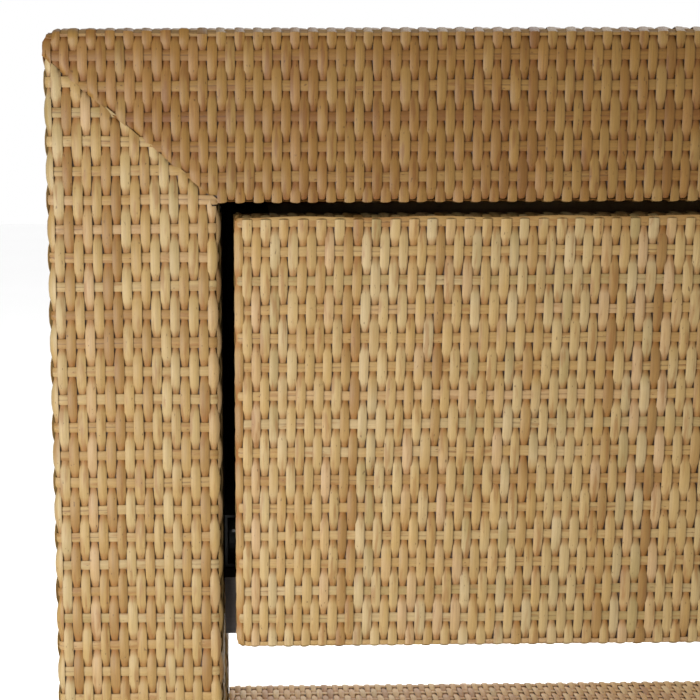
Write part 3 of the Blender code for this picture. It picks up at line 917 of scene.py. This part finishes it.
@dataclass
class Carcass:
    """The outer sizes that every woven piece shares, read from the solid model.

    The mitre starts seam_drop below the top at the table's corner and falls by seam_slope.
    """

    half_x: float
    half_y: float
    top: float
    leg: float
    under: float
    column: float = 0.0040
    corner: float = 0.0040
    top_corner: float = 0.0090
    seam_drop: float = 0.0129
    seam_slope: float = 0.838

    @classmethod
    def measure(cls) -> "Carcass":
        """Reads the sizes from the solid skins."""
        low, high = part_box("top_weave")
        leg_low, leg_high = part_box("leg_weave_front_left")
        return cls(high.x, high.y, high.z, leg_high.x - leg_low.x, low.z)

    def seam(self, inset: Array) -> Array:
        """The mitre's height at a distance from the corner: it falls steadily to the rail's underside."""
        return np.maximum(self.top - self.seam_drop - self.seam_slope * np.maximum(inset, 0.0), self.under)

    def seam_inset(self, height: Array) -> Array:
        """The mitre's distance from the corner at a height: the inverse of seam."""
        return (self.top - height - self.seam_drop) / self.seam_slope


@dataclass
class Leg:
    """One square leg: stakes run up it, weavers run round it, and its top is cut to the mitre."""

    carcass: Carcass
    name: str
    seed: int
    fine: bool
    row: float = 0.0125
    row_height: float = 0.0112
    column: float = 0.00412
    station: float = 0.0030
    plain_station: float = 0.0040

    def build(self, finish: bpy.types.Material) -> None:
        """Makes the leg's stakes and weavers.

        Args:
            finish: The peel.
        """
        carcass = self.carcass
        node = f"leg_weave_{self.name}"
        low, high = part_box(node)
        corners = [(low.x, low.y), (high.x, low.y), (high.x, high.y), (low.x, high.y)]
        inset = [(MIDDLE, MIDDLE), (-MIDDLE, MIDDLE), (-MIDDLE, -MIDDLE), (MIDDLE, -MIDDLE)]
        loop = [(x + dx, y + dy) for (x, y), (dx, dy) in zip(corners, inset)]
        path = RoundedPath(loop, [carcass.corner - MIDDLE] * 4, closed=True)
        sheet = Sheet(path, Plane.XY)
        count = 2 * round(path.total / self.column / 2)
        columns = (np.arange(count) + 0.5) * path.total / count
        rows = self.row_height + self.row * np.arange(-1, 49)
        inner_edge = carcass.leg - 0.006

        def top_end(where: Array) -> Array:
            """The mitre's height at each place round the leg."""
            x, y, _, _ = path.at(where)
            inward_x = carcass.half_x - np.abs(x) - MIDDLE
            inward_y = carcass.half_y - np.abs(y) - MIDDLE
            inward = np.maximum(inward_x, inward_y)
            cut = carcass.seam(inward) - LAP
            return np.where(inward > inner_edge, np.minimum(cut, carcass.under - 2 * LAP), cut)

        weave = Weave(sheet, columns, rows, self.seed, stakes_follow=False, fine=self.fine)
        foot = float(low.z) + HAIR
        strands = weave.stakes(level_at(foot), top_end, self.station if self.fine else self.plain_station)
        settle(strands, f"leg_stakes_{self.name}", finish, Body.CASE, node)
        whole = np.flatnonzero((rows > foot + 0.002) & (rows < carcass.under - 0.004))
        around = weave.weavers(level_at(0.0), level_at(path.total), 2 if self.fine else 1, whole, closed=True)
        settle(around, f"leg_weavers_{self.name}", finish, Body.CASE, node)
        upper = np.flatnonzero((rows >= carcass.under - 0.004) & (rows < carcass.top - 0.016))
        self._upper_weavers(weave, upper, node, finish)

    def _upper_weavers(self, weave: Weave, rows: Array, node: str, finish: bpy.types.Material) -> None:
        """Makes the weavers above the rail's underside, which end at the mitre on both outer faces.

        Args:
            weave: The leg's weave.
            rows: Their row numbers.
            node: The solid skin they stand for.
            finish: The peel.
        """
        carcass = self.carcass
        path = weave.sheet.path
        lengths = np.linspace(0.0, path.total, SEARCH_STEPS)
        x, y, _, _ = path.at(lengths)
        outer = np.argmin((carcass.half_x - np.abs(x)) ** 2 + (carcass.half_y - np.abs(y)) ** 2)
        middle = lengths[outer]

        def reach(height: Array) -> Array:
            """How far from the outer edge a weaver runs before it meets the mitre."""
            return np.clip(carcass.seam_inset(height), 0.002, carcass.leg - 0.003)

        def back_reach(height: Array) -> Array:
            """Where a weaver begins."""
            return middle - reach(height)

        def ahead_reach(height: Array) -> Array:
            """Where a weaver ends."""
            return middle + reach(height)

        strands = weave.weavers(back_reach, ahead_reach, 2 if self.fine else 1, rows)
        settle(strands, f"leg_upper_weavers_{self.name}", finish, Body.CASE, node)


@dataclass
class TableTop:
    """The top: stakes run from under the front rail over the table to under the back rail.

    The side rails carry their own stakes. All of them meet the legs along a mitre. The stakes turn under
    the rails by lip, and the top lies sink lower than the solid's, so its edge strands don't stand proud.
    """

    carcass: Carcass
    lip: float = 0.036
    column: float = 0.00392
    row: float = 0.0129
    first_row: float = 0.0126
    edge_step: float = 0.0102
    underside_corner: float = 0.003
    sink: float = 0.0006
    station: float = 0.0034
    turn: float = 0.012

    def build(self, finish: bpy.types.Material) -> None:
        """Makes the top's stakes and weavers and both side rails.

        Args:
            finish: The peel.
        """
        self._main(finish)
        for flip, side in ((1, "left"), (-1, "right")):
            self._side(finish, flip, side)

    def _edges(self) -> tuple[Edge, ...]:
        """The rounded edges at the table's corners and along its side top edges."""
        carcass = self.carcass
        upright = Edge((0, 0, carcass.half_x), (1, 0, carcass.half_y), carcass.corner)
        ridge = Edge((0, 0, carcass.half_x), (2, 1, carcass.top), carcass.top_corner)
        return upright, ridge

    def _main(self, finish: bpy.types.Material) -> None:
        """Makes the strands of the top and of the front and back rails.

        Args:
            finish: The peel.
        """
        carcass = self.carcass
        out = carcass.half_y - MIDDLE
        low = carcass.under + MIDDLE
        high = carcass.top - MIDDLE - self.sink
        start = carcass.half_y - self.lip
        corners = [(-start, low), (-out, low), (-out, high), (out, high), (out, low), (start, low)]
        bottom = self.underside_corner - MIDDLE
        ridge = carcass.corner - MIDDLE
        path = RoundedPath(corners, [0.0, bottom, ridge, ridge, bottom, 0.0])
        sheet = Sheet(path, Plane.YZ, self._edges())
        columns = spread(-carcass.half_x, carcass.half_x, self.column)
        front_row = float(path.find(1, carcass.top - self.first_row, 0.06, 0.16))
        edge_row = front_row + self.edge_step
        back_row = path.total - front_row
        across = back_row - edge_row - self.edge_step
        between = np.linspace(edge_row, edge_row + across, round(across / self.row) + 1)
        below = front_row - self.row * np.arange(9, -1, -1)
        rows = np.concatenate([below, between, back_row + self.row * np.arange(0, 10)])

        def front_end(x: Array) -> Array:
            """Where a stake starts: at the mitre over a leg, or else under the rail."""
            inward = carcass.half_x - np.abs(x)
            height = carcass.seam(inward) + LAP
            return np.where(inward < carcass.leg, path.find(1, height, 0.055, 0.16), 0.0)

        def back_end(x: Array) -> Array:
            """Where a stake ends, the same as it starts."""
            return path.total - front_end(x)

        weave = Weave(sheet, columns, rows, 501, fine=False, first_column=1)
        half = len(columns) // 2
        for name, keep in (("left", np.arange(half)), ("right", np.arange(half, len(columns)))):
            strands = weave.stakes(front_end, back_end, self.station, keep)
            settle(strands, f"top_stakes_{name}", finish, Body.CASE, "top_weave")

        left_end = self._weaver_end(path, carcass.half_x, low)
        inside = np.flatnonzero((rows > END_ROOM) & (rows < path.total - END_ROOM))
        strands = weave.weavers(left_end, lambda where: -left_end(where), 1, inside)
        settle(strands, "top_weavers", finish, Body.CASE, "top_weave")

    def _weaver_end(self, path: RoundedPath, half: float, low: float) -> Limit:
        """Where weavers start: at the table's edge, at the mitre, or beside the leg under the rail.

        Args:
            path: The sheet's path, whose second coordinate is the height.
            half: Half the table's size along the weavers.
            low: The height of the turned-under part.

        Returns:
            The limit.
        """
        carcass = self.carcass

        def start(where: Array) -> Array:
            """The start at each length of the path."""
            _, height, _, _ = path.at(where)
            inward = np.clip(carcass.seam_inset(height), 0.0, carcass.leg)
            inward = np.where(height < low + 0.004, carcass.leg + LAP, inward)
            return -half + inward + LAP

        return start

    def _side(self, finish: bpy.types.Material, flip: int, side: str) -> None:
        """Makes one side rail's strands, on the left and then turned over for the right.

        Args:
            finish: The peel.
            flip: 1 for the left and -1 for the right.
            side: The side's name.
        """
        carcass = self.carcass
        out = carcass.half_x - MIDDLE
        low = carcass.under + MIDDLE
        high = carcass.top - MIDDLE
        corners = [(-carcass.half_x + self.lip, low), (-out, low), (-out, high), (self.turn - out, high)]
        radii = [0.0, self.underside_corner - MIDDLE, carcass.top_corner - MIDDLE, 0.0]
        path = RoundedPath(corners, radii)
        upright = Edge((0, 0, carcass.half_x), (1, 0, carcass.half_y), carcass.corner)
        sheet = Sheet(path, Plane.XZ, (upright,), flip=(flip, 1, 1))
        columns = spread(-carcass.half_y, carcass.half_y, carcass.column)
        first = float(path.find(1, carcass.top - self.first_row, 0.3, 0.86))
        rows = first + self.row * np.arange(-9, 3)
        end = float(path.find(1, carcass.top - 0.0034, 0.3, 0.95))

        def low_end(y: Array) -> Array:
            """Where a stake starts: at the mitre over a leg, or else under the rail."""
            inward = carcass.half_y - np.abs(y)
            height = carcass.seam(inward) + LAP
            return np.where(inward < carcass.leg, path.find(1, height, 0.3, 0.86), 0.0)

        weave = Weave(sheet, columns, rows, 541 + flip, fine=False, first_row=1)
        between_corners = np.arange(1, len(columns) - 1)
        strands = weave.stakes(low_end, level_at(end), self.station, between_corners)
        settle(strands, f"rail_stakes_{side}", finish, Body.CASE, "top_weave")

        front_end = self._weaver_end(path, carcass.half_y, low)
        inside = np.flatnonzero((rows > END_ROOM) & (rows < end - 0.002))
        strands = weave.weavers(front_end, lambda where: -front_end(where), 1, inside)
        settle(strands, f"rail_weavers_{side}", finish, Body.CASE, "top_weave")


@dataclass
class DrawerFront:
    """The drawer's woven front, which wraps round its board on all four edges.

    Its top stands proud of the solid's, and its stakes lean to the left by lean for each metre down.
    """

    carcass: Carcass
    row: float = 0.01276
    first_row: float = 0.0070
    fold: float = 0.0030
    bottom_corner: float = 0.0054
    top_corner: float = 0.0022
    lean: float = 0.020
    proud: float = 0.0016
    station: float = 0.0031
    low: Vector = field(init=False)
    high: Vector = field(init=False)

    def __post_init__(self) -> None:
        """Reads the front's lowest and highest corners."""
        self.low, self.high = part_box("drawer_front_weave")
        self.high.z += self.proud

    def build(self, finish: bpy.types.Material) -> None:
        """Makes the front's strands.

        Args:
            finish: The peel.
        """
        low, high = self.low, self.high
        half = high.x
        out = low.y + MIDDLE
        back = high.y
        edges = (
            Edge((0, 0, half), (2, 1, high.z), self.top_corner),
            Edge((0, 0, half), (2, -1, low.z), self.bottom_corner),
        )
        under, over = low.z + MIDDLE, high.z - MIDDLE
        profile = [(back, under), (out, under), (out, over), (back, over)]
        fold = self.fold - MIDDLE
        upright = RoundedPath(profile, [0.0, fold, fold, 0.0])
        stake_edges = (Edge((0, 0, half), (1, -1, low.y), self.fold), *edges)
        face = Sheet(upright, Plane.YZ, stake_edges, bend=self._lean)
        columns = spread(-half, half, self.carcass.column)
        top_row = float(upright.find(1, high.z - self.first_row, 0.2, 0.85))
        rows = top_row - self.row * np.arange(18, -4, -1)
        weave = Weave(face, columns, rows, 701)
        strands = weave.stakes(level_at(0.0), level_at(upright.total), self.station)
        settle(strands, "drawer_front_stakes", finish, Body.DRAWER, "drawer_front_weave")
        _, height, _, _ = upright.at(rows)
        on_edge = (rows > 0.002) & (rows < upright.total - 0.002)
        turned = (height < under + 0.001) | (height > over - 0.001)
        folded = np.flatnonzero(on_edge & turned)
        strands = weave.weavers(level_at(-half + 0.0006), level_at(half - 0.0006), 2, folded)
        settle(strands, "drawer_front_edge_weavers", finish, Body.DRAWER, "drawer_front_weave")
        flat = np.flatnonzero(on_edge & ~turned)
        self._round_the_sides(finish, columns, upright.at(rows)[1][flat], int(flat[0]), edges)

    def _lean(self, points: Array) -> None:
        """Leans the stakes to the left towards the bottom, by lean times the drop, fading at both sides."""
        drop = np.clip(self.high.z - points[..., 2], 0.0, 1.0)
        fade = 1.0 - np.abs(points[..., 0] / self.high.x) ** 6
        points[..., 0] -= self.lean * drop * np.clip(fade, 0.0, 1.0)

    def _round_the_sides(
        self,
        finish: bpy.types.Material,
        columns: Array,
        rows: Array,
        first: int,
        edges: tuple[Edge, ...],
    ) -> None:
        """Makes the weavers that run across the front and round its ends, and the stakes on those ends.

        Args:
            finish: The peel.
            columns: The front's columns.
            rows: The heights of the rows on its face.
            first: The number of the lowest of them.
            edges: The front's rounded corners.
        """
        low, high = self.low, self.high
        out_x = high.x - MIDDLE
        out_y = low.y + MIDDLE
        fold = self.fold - MIDDLE
        plan = [(-out_x, high.y), (-out_x, out_y), (out_x, out_y), (out_x, high.y)]
        girdle = RoundedPath(plan, [0.0, fold, fold, 0.0])
        sheet = Sheet(girdle, Plane.XY, edges)
        sheet.path.normals *= -1.0
        offset = float(girdle.find(0, 0.0, 0.3, 0.7))
        pitch = float(columns[1] - columns[0])
        side = round((offset + columns[0] - pitch) / pitch) + 1
        around = np.concatenate(
            [
                offset + columns[0] - pitch * np.arange(side, 0, -1),
                offset + columns,
                offset + columns[-1] + pitch * np.arange(1, side + 1),
            ]
        )
        weave = Weave(sheet, around, rows, 731, stakes_follow=False, first_column=first - side)
        strands = weave.weavers(level_at(0.0), level_at(girdle.total), 2, np.arange(len(rows)))
        settle(strands, "drawer_front_weavers", finish, Body.DRAWER, "drawer_front_weave")
        reach = high.y - low.y
        beside = (around < reach - 0.002) | (around > girdle.total - reach + 0.002)
        ends = np.flatnonzero(beside & (around > 0.001) & (around < girdle.total - 0.001))
        strands = weave.stakes(level_at(low.z + 0.0004), level_at(high.z - 0.0004), self.station, ends)
        settle(strands, "drawer_front_end_stakes", finish, Body.DRAWER, "drawer_front_weave")


@dataclass
class Panels:
    """The woven panels at the sides and back, each turned under its board at the bottom."""

    carcass: Carcass
    row: float = 0.01276
    first_row: float = 0.0082
    board: float = 0.0160
    fold: float = 0.0030

    def build(self, finish: bpy.types.Material) -> None:
        """Makes the side panels and the back panel.

        Args:
            finish: The peel.
        """
        for flip, side in ((1, "left"), (-1, "right")):
            low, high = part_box(f"side_weave_{side}")
            out = max(abs(low.x), abs(high.x))
            node, heights = f"side_weave_{side}", (low.z, high.z)
            self._panel(finish, f"side_{side}", node, Plane.XZ, out, high.y, heights, (flip, 1, 1))
        low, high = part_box("back_weave")
        self._panel(finish, "back", "back_weave", Plane.YZ, high.y, high.x, (low.z, high.z), (1, -1, 1))

    def _panel(
        self,
        finish: bpy.types.Material,
        name: str,
        node: str,
        plane: Plane,
        out: float,
        half: float,
        heights: tuple[float, float],
        flip: tuple[int, int, int],
    ) -> None:
        """Makes one panel's strands.

        Args:
            finish: The peel.
            name: What its pieces are called.
            node: The solid skin that they stand for.
            plane: The plane of its profile.
            out: The distance of its outer face from the middle of the table.
            half: Half its length.
            heights: Its bottom and top.
            flip: The signs that turn it over to its own side.
        """
        low, high = heights
        face = -out + MIDDLE
        profile = [(face + self.board, low + MIDDLE), (face, low + MIDDLE), (face, high)]
        path = RoundedPath(profile, [0.0, self.fold - MIDDLE, 0.0])
        columns = spread(-half, half, self.carcass.column)
        top_row = float(path.find(1, high - self.first_row, 0.3, 1.0))
        rows = top_row - self.row * np.arange(19, -2, -1)
        weave = Weave(Sheet(path, plane, flip=flip), columns, rows, 801 + len(name), fine=False)
        strands = weave.stakes(level_at(0.0), level_at(path.total), 0.004)
        settle(strands, f"{name}_stakes", finish, Body.CASE, node)
        inside = np.flatnonzero((rows > END_ROOM) & (rows < path.total - END_ROOM))
        strands = weave.weavers(level_at(-half + 0.0004), level_at(half - 0.0004), 1, inside)
        settle(strands, f"{name}_weavers", finish, Body.CASE, node)


@dataclass
class Shelf:
    """The low shelf: stakes run from front to back and over both edges, between the legs' notches."""

    carcass: Carcass
    row: float = 0.0124
    fold: float = 0.0040

    def build(self, finish: bpy.types.Material) -> None:
        """Makes the shelf's strands.

        Args:
            finish: The peel.
        """
        carcass = self.carcass
        low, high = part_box("shelf_weave")
        out = high.y - MIDDLE
        top = high.z - MIDDLE
        profile = [(-out, low.z + HAIR), (-out, top), (out, top), (out, low.z + HAIR)]
        path = RoundedPath(profile, [0.0, self.fold - MIDDLE, self.fold - MIDDLE, 0.0])
        ridge = Edge((0, 0, high.x), (2, 1, high.z), self.fold)
        sheet = Sheet(path, Plane.YZ, (ridge,))
        columns = spread(-high.x, high.x, carcass.column)
        open_x = carcass.half_x - carcass.leg - 2 * LAP
        open_y = carcass.half_y - carcass.leg - 2 * LAP
        notch = float(path.find(0, -open_y, 0.0, 0.5))

        def front_end(x: Array) -> Array:
            """Where a stake starts: on the front edge, or at a leg."""
            return np.where(np.abs(x) > open_x - 0.001, notch, 0.0)

        count = round(path.total / self.row)
        rows = path.total * (np.arange(-2, count + 2) + 0.5) / count
        weave = Weave(sheet, columns, rows, 901, fine=False)
        strands = weave.stakes(front_end, lambda x: path.total - front_end(x), 0.0048)
        settle(strands, "shelf_stakes", finish, Body.CASE, "shelf_weave")

        def left_end(where: Array) -> Array:
            """Where a weaver starts: at the shelf's side, or beside a leg."""
            near_end = (where < notch) | (where > path.total - notch)
            return np.where(near_end, -open_x, -high.x + 0.0006)

        inside = np.flatnonzero((rows > END_ROOM) & (rows < path.total - END_ROOM))
        strands = weave.weavers(left_end, lambda where: -left_end(where), 1, inside)
        settle(strands, "shelf_weavers", finish, Body.CASE, "shelf_weave")
        for flip, side in ((1, "left"), (-1, "right")):
            self._edge(finish, flip, side, (low, high), open_y)

    def _edge(
        self, finish: bpy.types.Material, flip: int, side: str, box: tuple[Vector, Vector], half: float
    ) -> None:
        """Makes the weave down one side edge of the shelf.

        Args:
            finish: The peel.
            flip: 1 for the left and -1 for the right.
            side: The side's name.
            box: The shelf's lowest and highest corners.
            half: Half the edge's length.
        """
        low, high = box
        face = -high.x + MIDDLE
        top = high.z - MIDDLE
        profile = [(face, low.z + HAIR), (face, top), (face + 0.01, top)]
        path = RoundedPath(profile, [0.0, self.fold - MIDDLE, 0.0])
        columns = spread(-half, half, self.carcass.column)
        end = float(path.find(1, high.z - 0.0026, 0.0, 0.9))
        rows = end - 0.0065 - self.row * np.arange(3, -3, -1)
        weave = Weave(Sheet(path, Plane.XZ, flip=(flip, 1, 1)), columns, rows, 941 + flip, fine=False)
        strands = weave.stakes(level_at(0.0), level_at(end), 0.003)
        settle(strands, f"shelf_edge_stakes_{side}", finish, Body.CASE, "shelf_weave")
        inside = np.flatnonzero((rows > 0.002) & (rows < end - 0.002))
        strands = weave.weavers(level_at(-half + 0.0004), level_at(half - 0.0004), 1, inside)
        settle(strands, f"shelf_edge_weavers_{side}", finish, Body.CASE, "shelf_weave")


@dataclass
class JointStrips:
    """Thin timber strips in the back corners, which close the joints between the back panel and the legs."""

    thickness: float = 0.0034
    bevel: float = 0.0004
    foot: float = 0.012
    head: float = 0.056

    def build(self, finish: bpy.types.Material) -> None:
        """Makes both strips.

        Args:
            finish: The timber.
        """
        low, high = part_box("back_panel")
        core_low, core_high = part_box("leg_core_back_right")
        near, far = high.x - 0.0030, core_low.x - HAIR
        front = low.y - self.thickness - HAIR
        back = front + self.thickness
        corners = np.array([(near, front), (far, front), (far, back), (near, back)])
        for side, name in ((-1.0, "left"), (1.0, "right")):
            outline = corners * (side, 1.0)
            piece = self._strip(f"joint_strip_{name}", outline, low.z + self.foot, core_high.z - self.head)
            piece.data.materials.append(finish)
            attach(piece, Body.CASE.value)
            LOG.info("%s: %d faces", piece.name, len(piece.data.polygons))

    def _strip(self, name: str, corners: Array, low: float, high: float) -> bpy.types.Object:
        """One strip: its outline is drawn in by the bevel at both ends, so every end edge is broken.

        Args:
            name: The piece's name.
            corners: The outline's four corners.
            low: The height of its lower end.
            high: The height of its upper end.

        Returns:
            The new object.
        """
        middle = corners.mean(0)
        drawn_in = corners - np.sign(corners - middle) * self.bevel
        outlines = [drawn_in, corners, corners, drawn_in]
        heights = [low, low + self.bevel, high - self.bevel, high]
        points = np.concatenate([np.column_stack([o, np.full(4, z)]) for o, z in zip(outlines, heights)])
        ring = np.arange(16).reshape(4, 4)
        ahead = np.roll(ring, -1, axis=1)
        sides = np.stack([ring[:-1], ahead[:-1], ahead[1:], ring[1:]], -1).reshape(-1, 4)
        faces = np.concatenate([sides, ring[:1, ::-1], ring[-1:]])
        along, across = corners[1] - corners[0], corners[2] - corners[1]
        area = along[0] * across[1] - along[1] * across[0]
        mesh = bpy.data.meshes.new(name)
        mesh.from_pydata(points.tolist(), [], (faces if area > 0 else faces[:, ::-1]).tolist())
        piece = bpy.data.objects.new(name, mesh)
        bpy.context.scene.collection.objects.link(piece)
        return piece


class Woodwork:
    """The frame, drawer box, slides and glides, which keep their solid shapes and get their finishes."""

    STEEL_WORDS = ("channel", "runner")
    BLACKED_WORDS = ("axle", "screw")
    NYLON_WORDS = ("roller", "glide")
    PLY_NODES = (
        "case_floor",
        "drawer_back",
        "drawer_floor",
        "drawer_inner_front",
        "drawer_side_left",
        "drawer_side_right",
    )

    def dress(self) -> None:
        """Gives every solid that stays in sight its finish."""
        timber = TIMBER.dress()
        dark = DARK_TIMBER.dress()
        ply = PLY.dress()
        coated = COATED_STEEL.dress()
        blacked = BLACKED.dress()
        nylon = NYLON.dress()
        for name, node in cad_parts.items():
            finish = timber
            if name == "case_front_rail":
                finish = dark
            elif name in self.PLY_NODES:
                finish = ply
            elif any(word in name for word in self.STEEL_WORDS):
                finish = coated
            elif any(word in name for word in self.BLACKED_WORDS):
                finish = blacked
            elif any(word in name for word in self.NYLON_WORDS):
                finish = nylon
            node.data.materials.clear()
            node.data.materials.append(finish)
            LOG.info("%s: %s", name, finish.name)


@dataclass(frozen=True)
class Lamp:
    """A square lamp: its place, the point that it faces, its side in metres and its power in watts."""

    name: str
    place: tuple[float, float, float]
    aim: tuple[float, float, float]
    size: float
    power: float

    def build(self) -> None:
        """Makes the lamp, which shines along its own -Z."""
        light = bpy.data.lights.new(self.name, "AREA")
        light.shape = "SQUARE"
        light.size = self.size
        light.energy = self.power
        lamp = bpy.data.objects.new(self.name, light)
        bpy.context.scene.collection.objects.link(lamp)
        turn = (Vector(self.aim) - Vector(self.place)).to_track_quat("-Z", "Y")
        lamp.matrix_world = Matrix.Translation(Vector(self.place)) @ turn.to_matrix().to_4x4()


@dataclass
class Studio:
    """A pale floor, a white surround, soft lamps and the camera.

    Angles are in degrees. The focal length is counted in the same unit as frame_width.
    """

    centre: tuple[float, float, float] = (-0.2105, -0.9231, 0.5848)
    yaw: float = 1.12
    pitch: float = 9.33
    roll: float = -0.17
    focal: float = 1612.0
    shift: float = 0.12
    frame_width: float = 700.0
    sensor: float = 36.0
    floor_reach: float = 6.0
    lamps: tuple[Lamp, ...] = (
        Lamp("key", (-0.50, -0.74, 0.38), (-0.25, -0.23, 0.40), 0.4, 10.0),
        Lamp("back", (-0.10, 0.78, 0.48), (-0.10, 0.20, 0.145), 0.5, 2.5),
        Lamp("overhead", (0.4, 0.9, 1.9), (0.0, 0.0, 0.35), 1.4, 24.0),
    )

    def build(self) -> None:
        """Makes the floor, surround, lamps and camera."""
        self._floor()
        self._surround()
        for lamp in self.lamps:
            lamp.build()
        self._camera()

    def _floor(self) -> None:
        """Makes the floor."""
        mesh = bpy.data.meshes.new("floor")
        far = self.floor_reach
        corners = [(-far, -far, 0), (far, -far, 0), (far, far, 0), (-far, far, 0)]
        mesh.from_pydata(corners, [], [(0, 1, 2, 3)])
        floor = bpy.data.objects.new("floor", mesh)
        bpy.context.scene.collection.objects.link(floor)
        graph = Graph("floor_pale")
        patch = graph.noise(graph.place(), 3.0, 2.0)
        colour = graph.mix(patch, (0.95, 0.95, 0.95), (0.98, 0.98, 0.98))
        mesh.materials.append(graph.finish(Base_Color=colour, Roughness=0.7))

    def _surround(self) -> None:
        """Sets the even white light from all round."""
        world = bpy.data.worlds.new("surround")
        world.use_nodes = True
        background = world.node_tree.nodes["Background"]
        background.inputs["Color"].default_value = (1.0, 1.0, 1.0, 1.0)
        background.inputs["Strength"].default_value = 1.0
        bpy.context.scene.world = world
        bpy.context.scene.view_settings.view_transform = "Standard"

    def _camera(self) -> None:
        """Makes the camera: it is turned by yaw, tipped down by pitch and rolled, all in degrees."""
        data = bpy.data.cameras.new("camera")
        data.sensor_width = self.sensor
        data.lens = self.focal * self.sensor / self.frame_width
        data.shift_x = self.shift
        data.clip_start = 0.01
        yaw, pitch, roll = (math.radians(value) for value in (self.yaw, self.pitch, self.roll))
        forward = Vector((math.sin(yaw) * math.cos(pitch), math.cos(yaw) * math.cos(pitch), -math.sin(pitch)))
        level = Vector((math.cos(yaw), -math.sin(yaw), 0.0))
        upright = level.cross(forward)
        right = math.cos(roll) * level + math.sin(roll) * upright
        up = -math.sin(roll) * level + math.cos(roll) * upright
        turn = Matrix((right, up, -forward)).transposed().to_4x4()
        camera = bpy.data.objects.new("camera", data)
        bpy.context.scene.collection.objects.link(camera)
        camera.matrix_world = Matrix.Translation(Vector(self.centre)) @ turn
        bpy.context.scene.camera = camera


def main() -> None:
    """Builds the table's woven pieces, dresses its frame and sets up the studio."""
    logging.basicConfig(level=logging.INFO, format="%(name)s %(message)s")
    carcass = Carcass.measure()
    light_peel = LIGHT_PEEL.dress()
    shaded_leg_peel = SHADED_LEG_PEEL.dress()
    top_peel = TOP_PEEL.dress()
    Woodwork().dress()
    Leg(carcass, "front_left", 101, fine=True).build(shaded_leg_peel)
    Leg(carcass, "front_right", 211, fine=True).build(shaded_leg_peel)
    Leg(carcass, "back_left", 307, fine=False).build(shaded_leg_peel)
    Leg(carcass, "back_right", 401, fine=False).build(shaded_leg_peel)
    TableTop(carcass).build(top_peel)
    DrawerFront(carcass).build(light_peel)
    Panels(carcass).build(light_peel)
    Shelf(carcass).build(LIT_SHELF_PEEL.dress())
    JointStrips().build(TIMBER.dress())
    Studio().build()


if __name__ == "__main__":
    main()
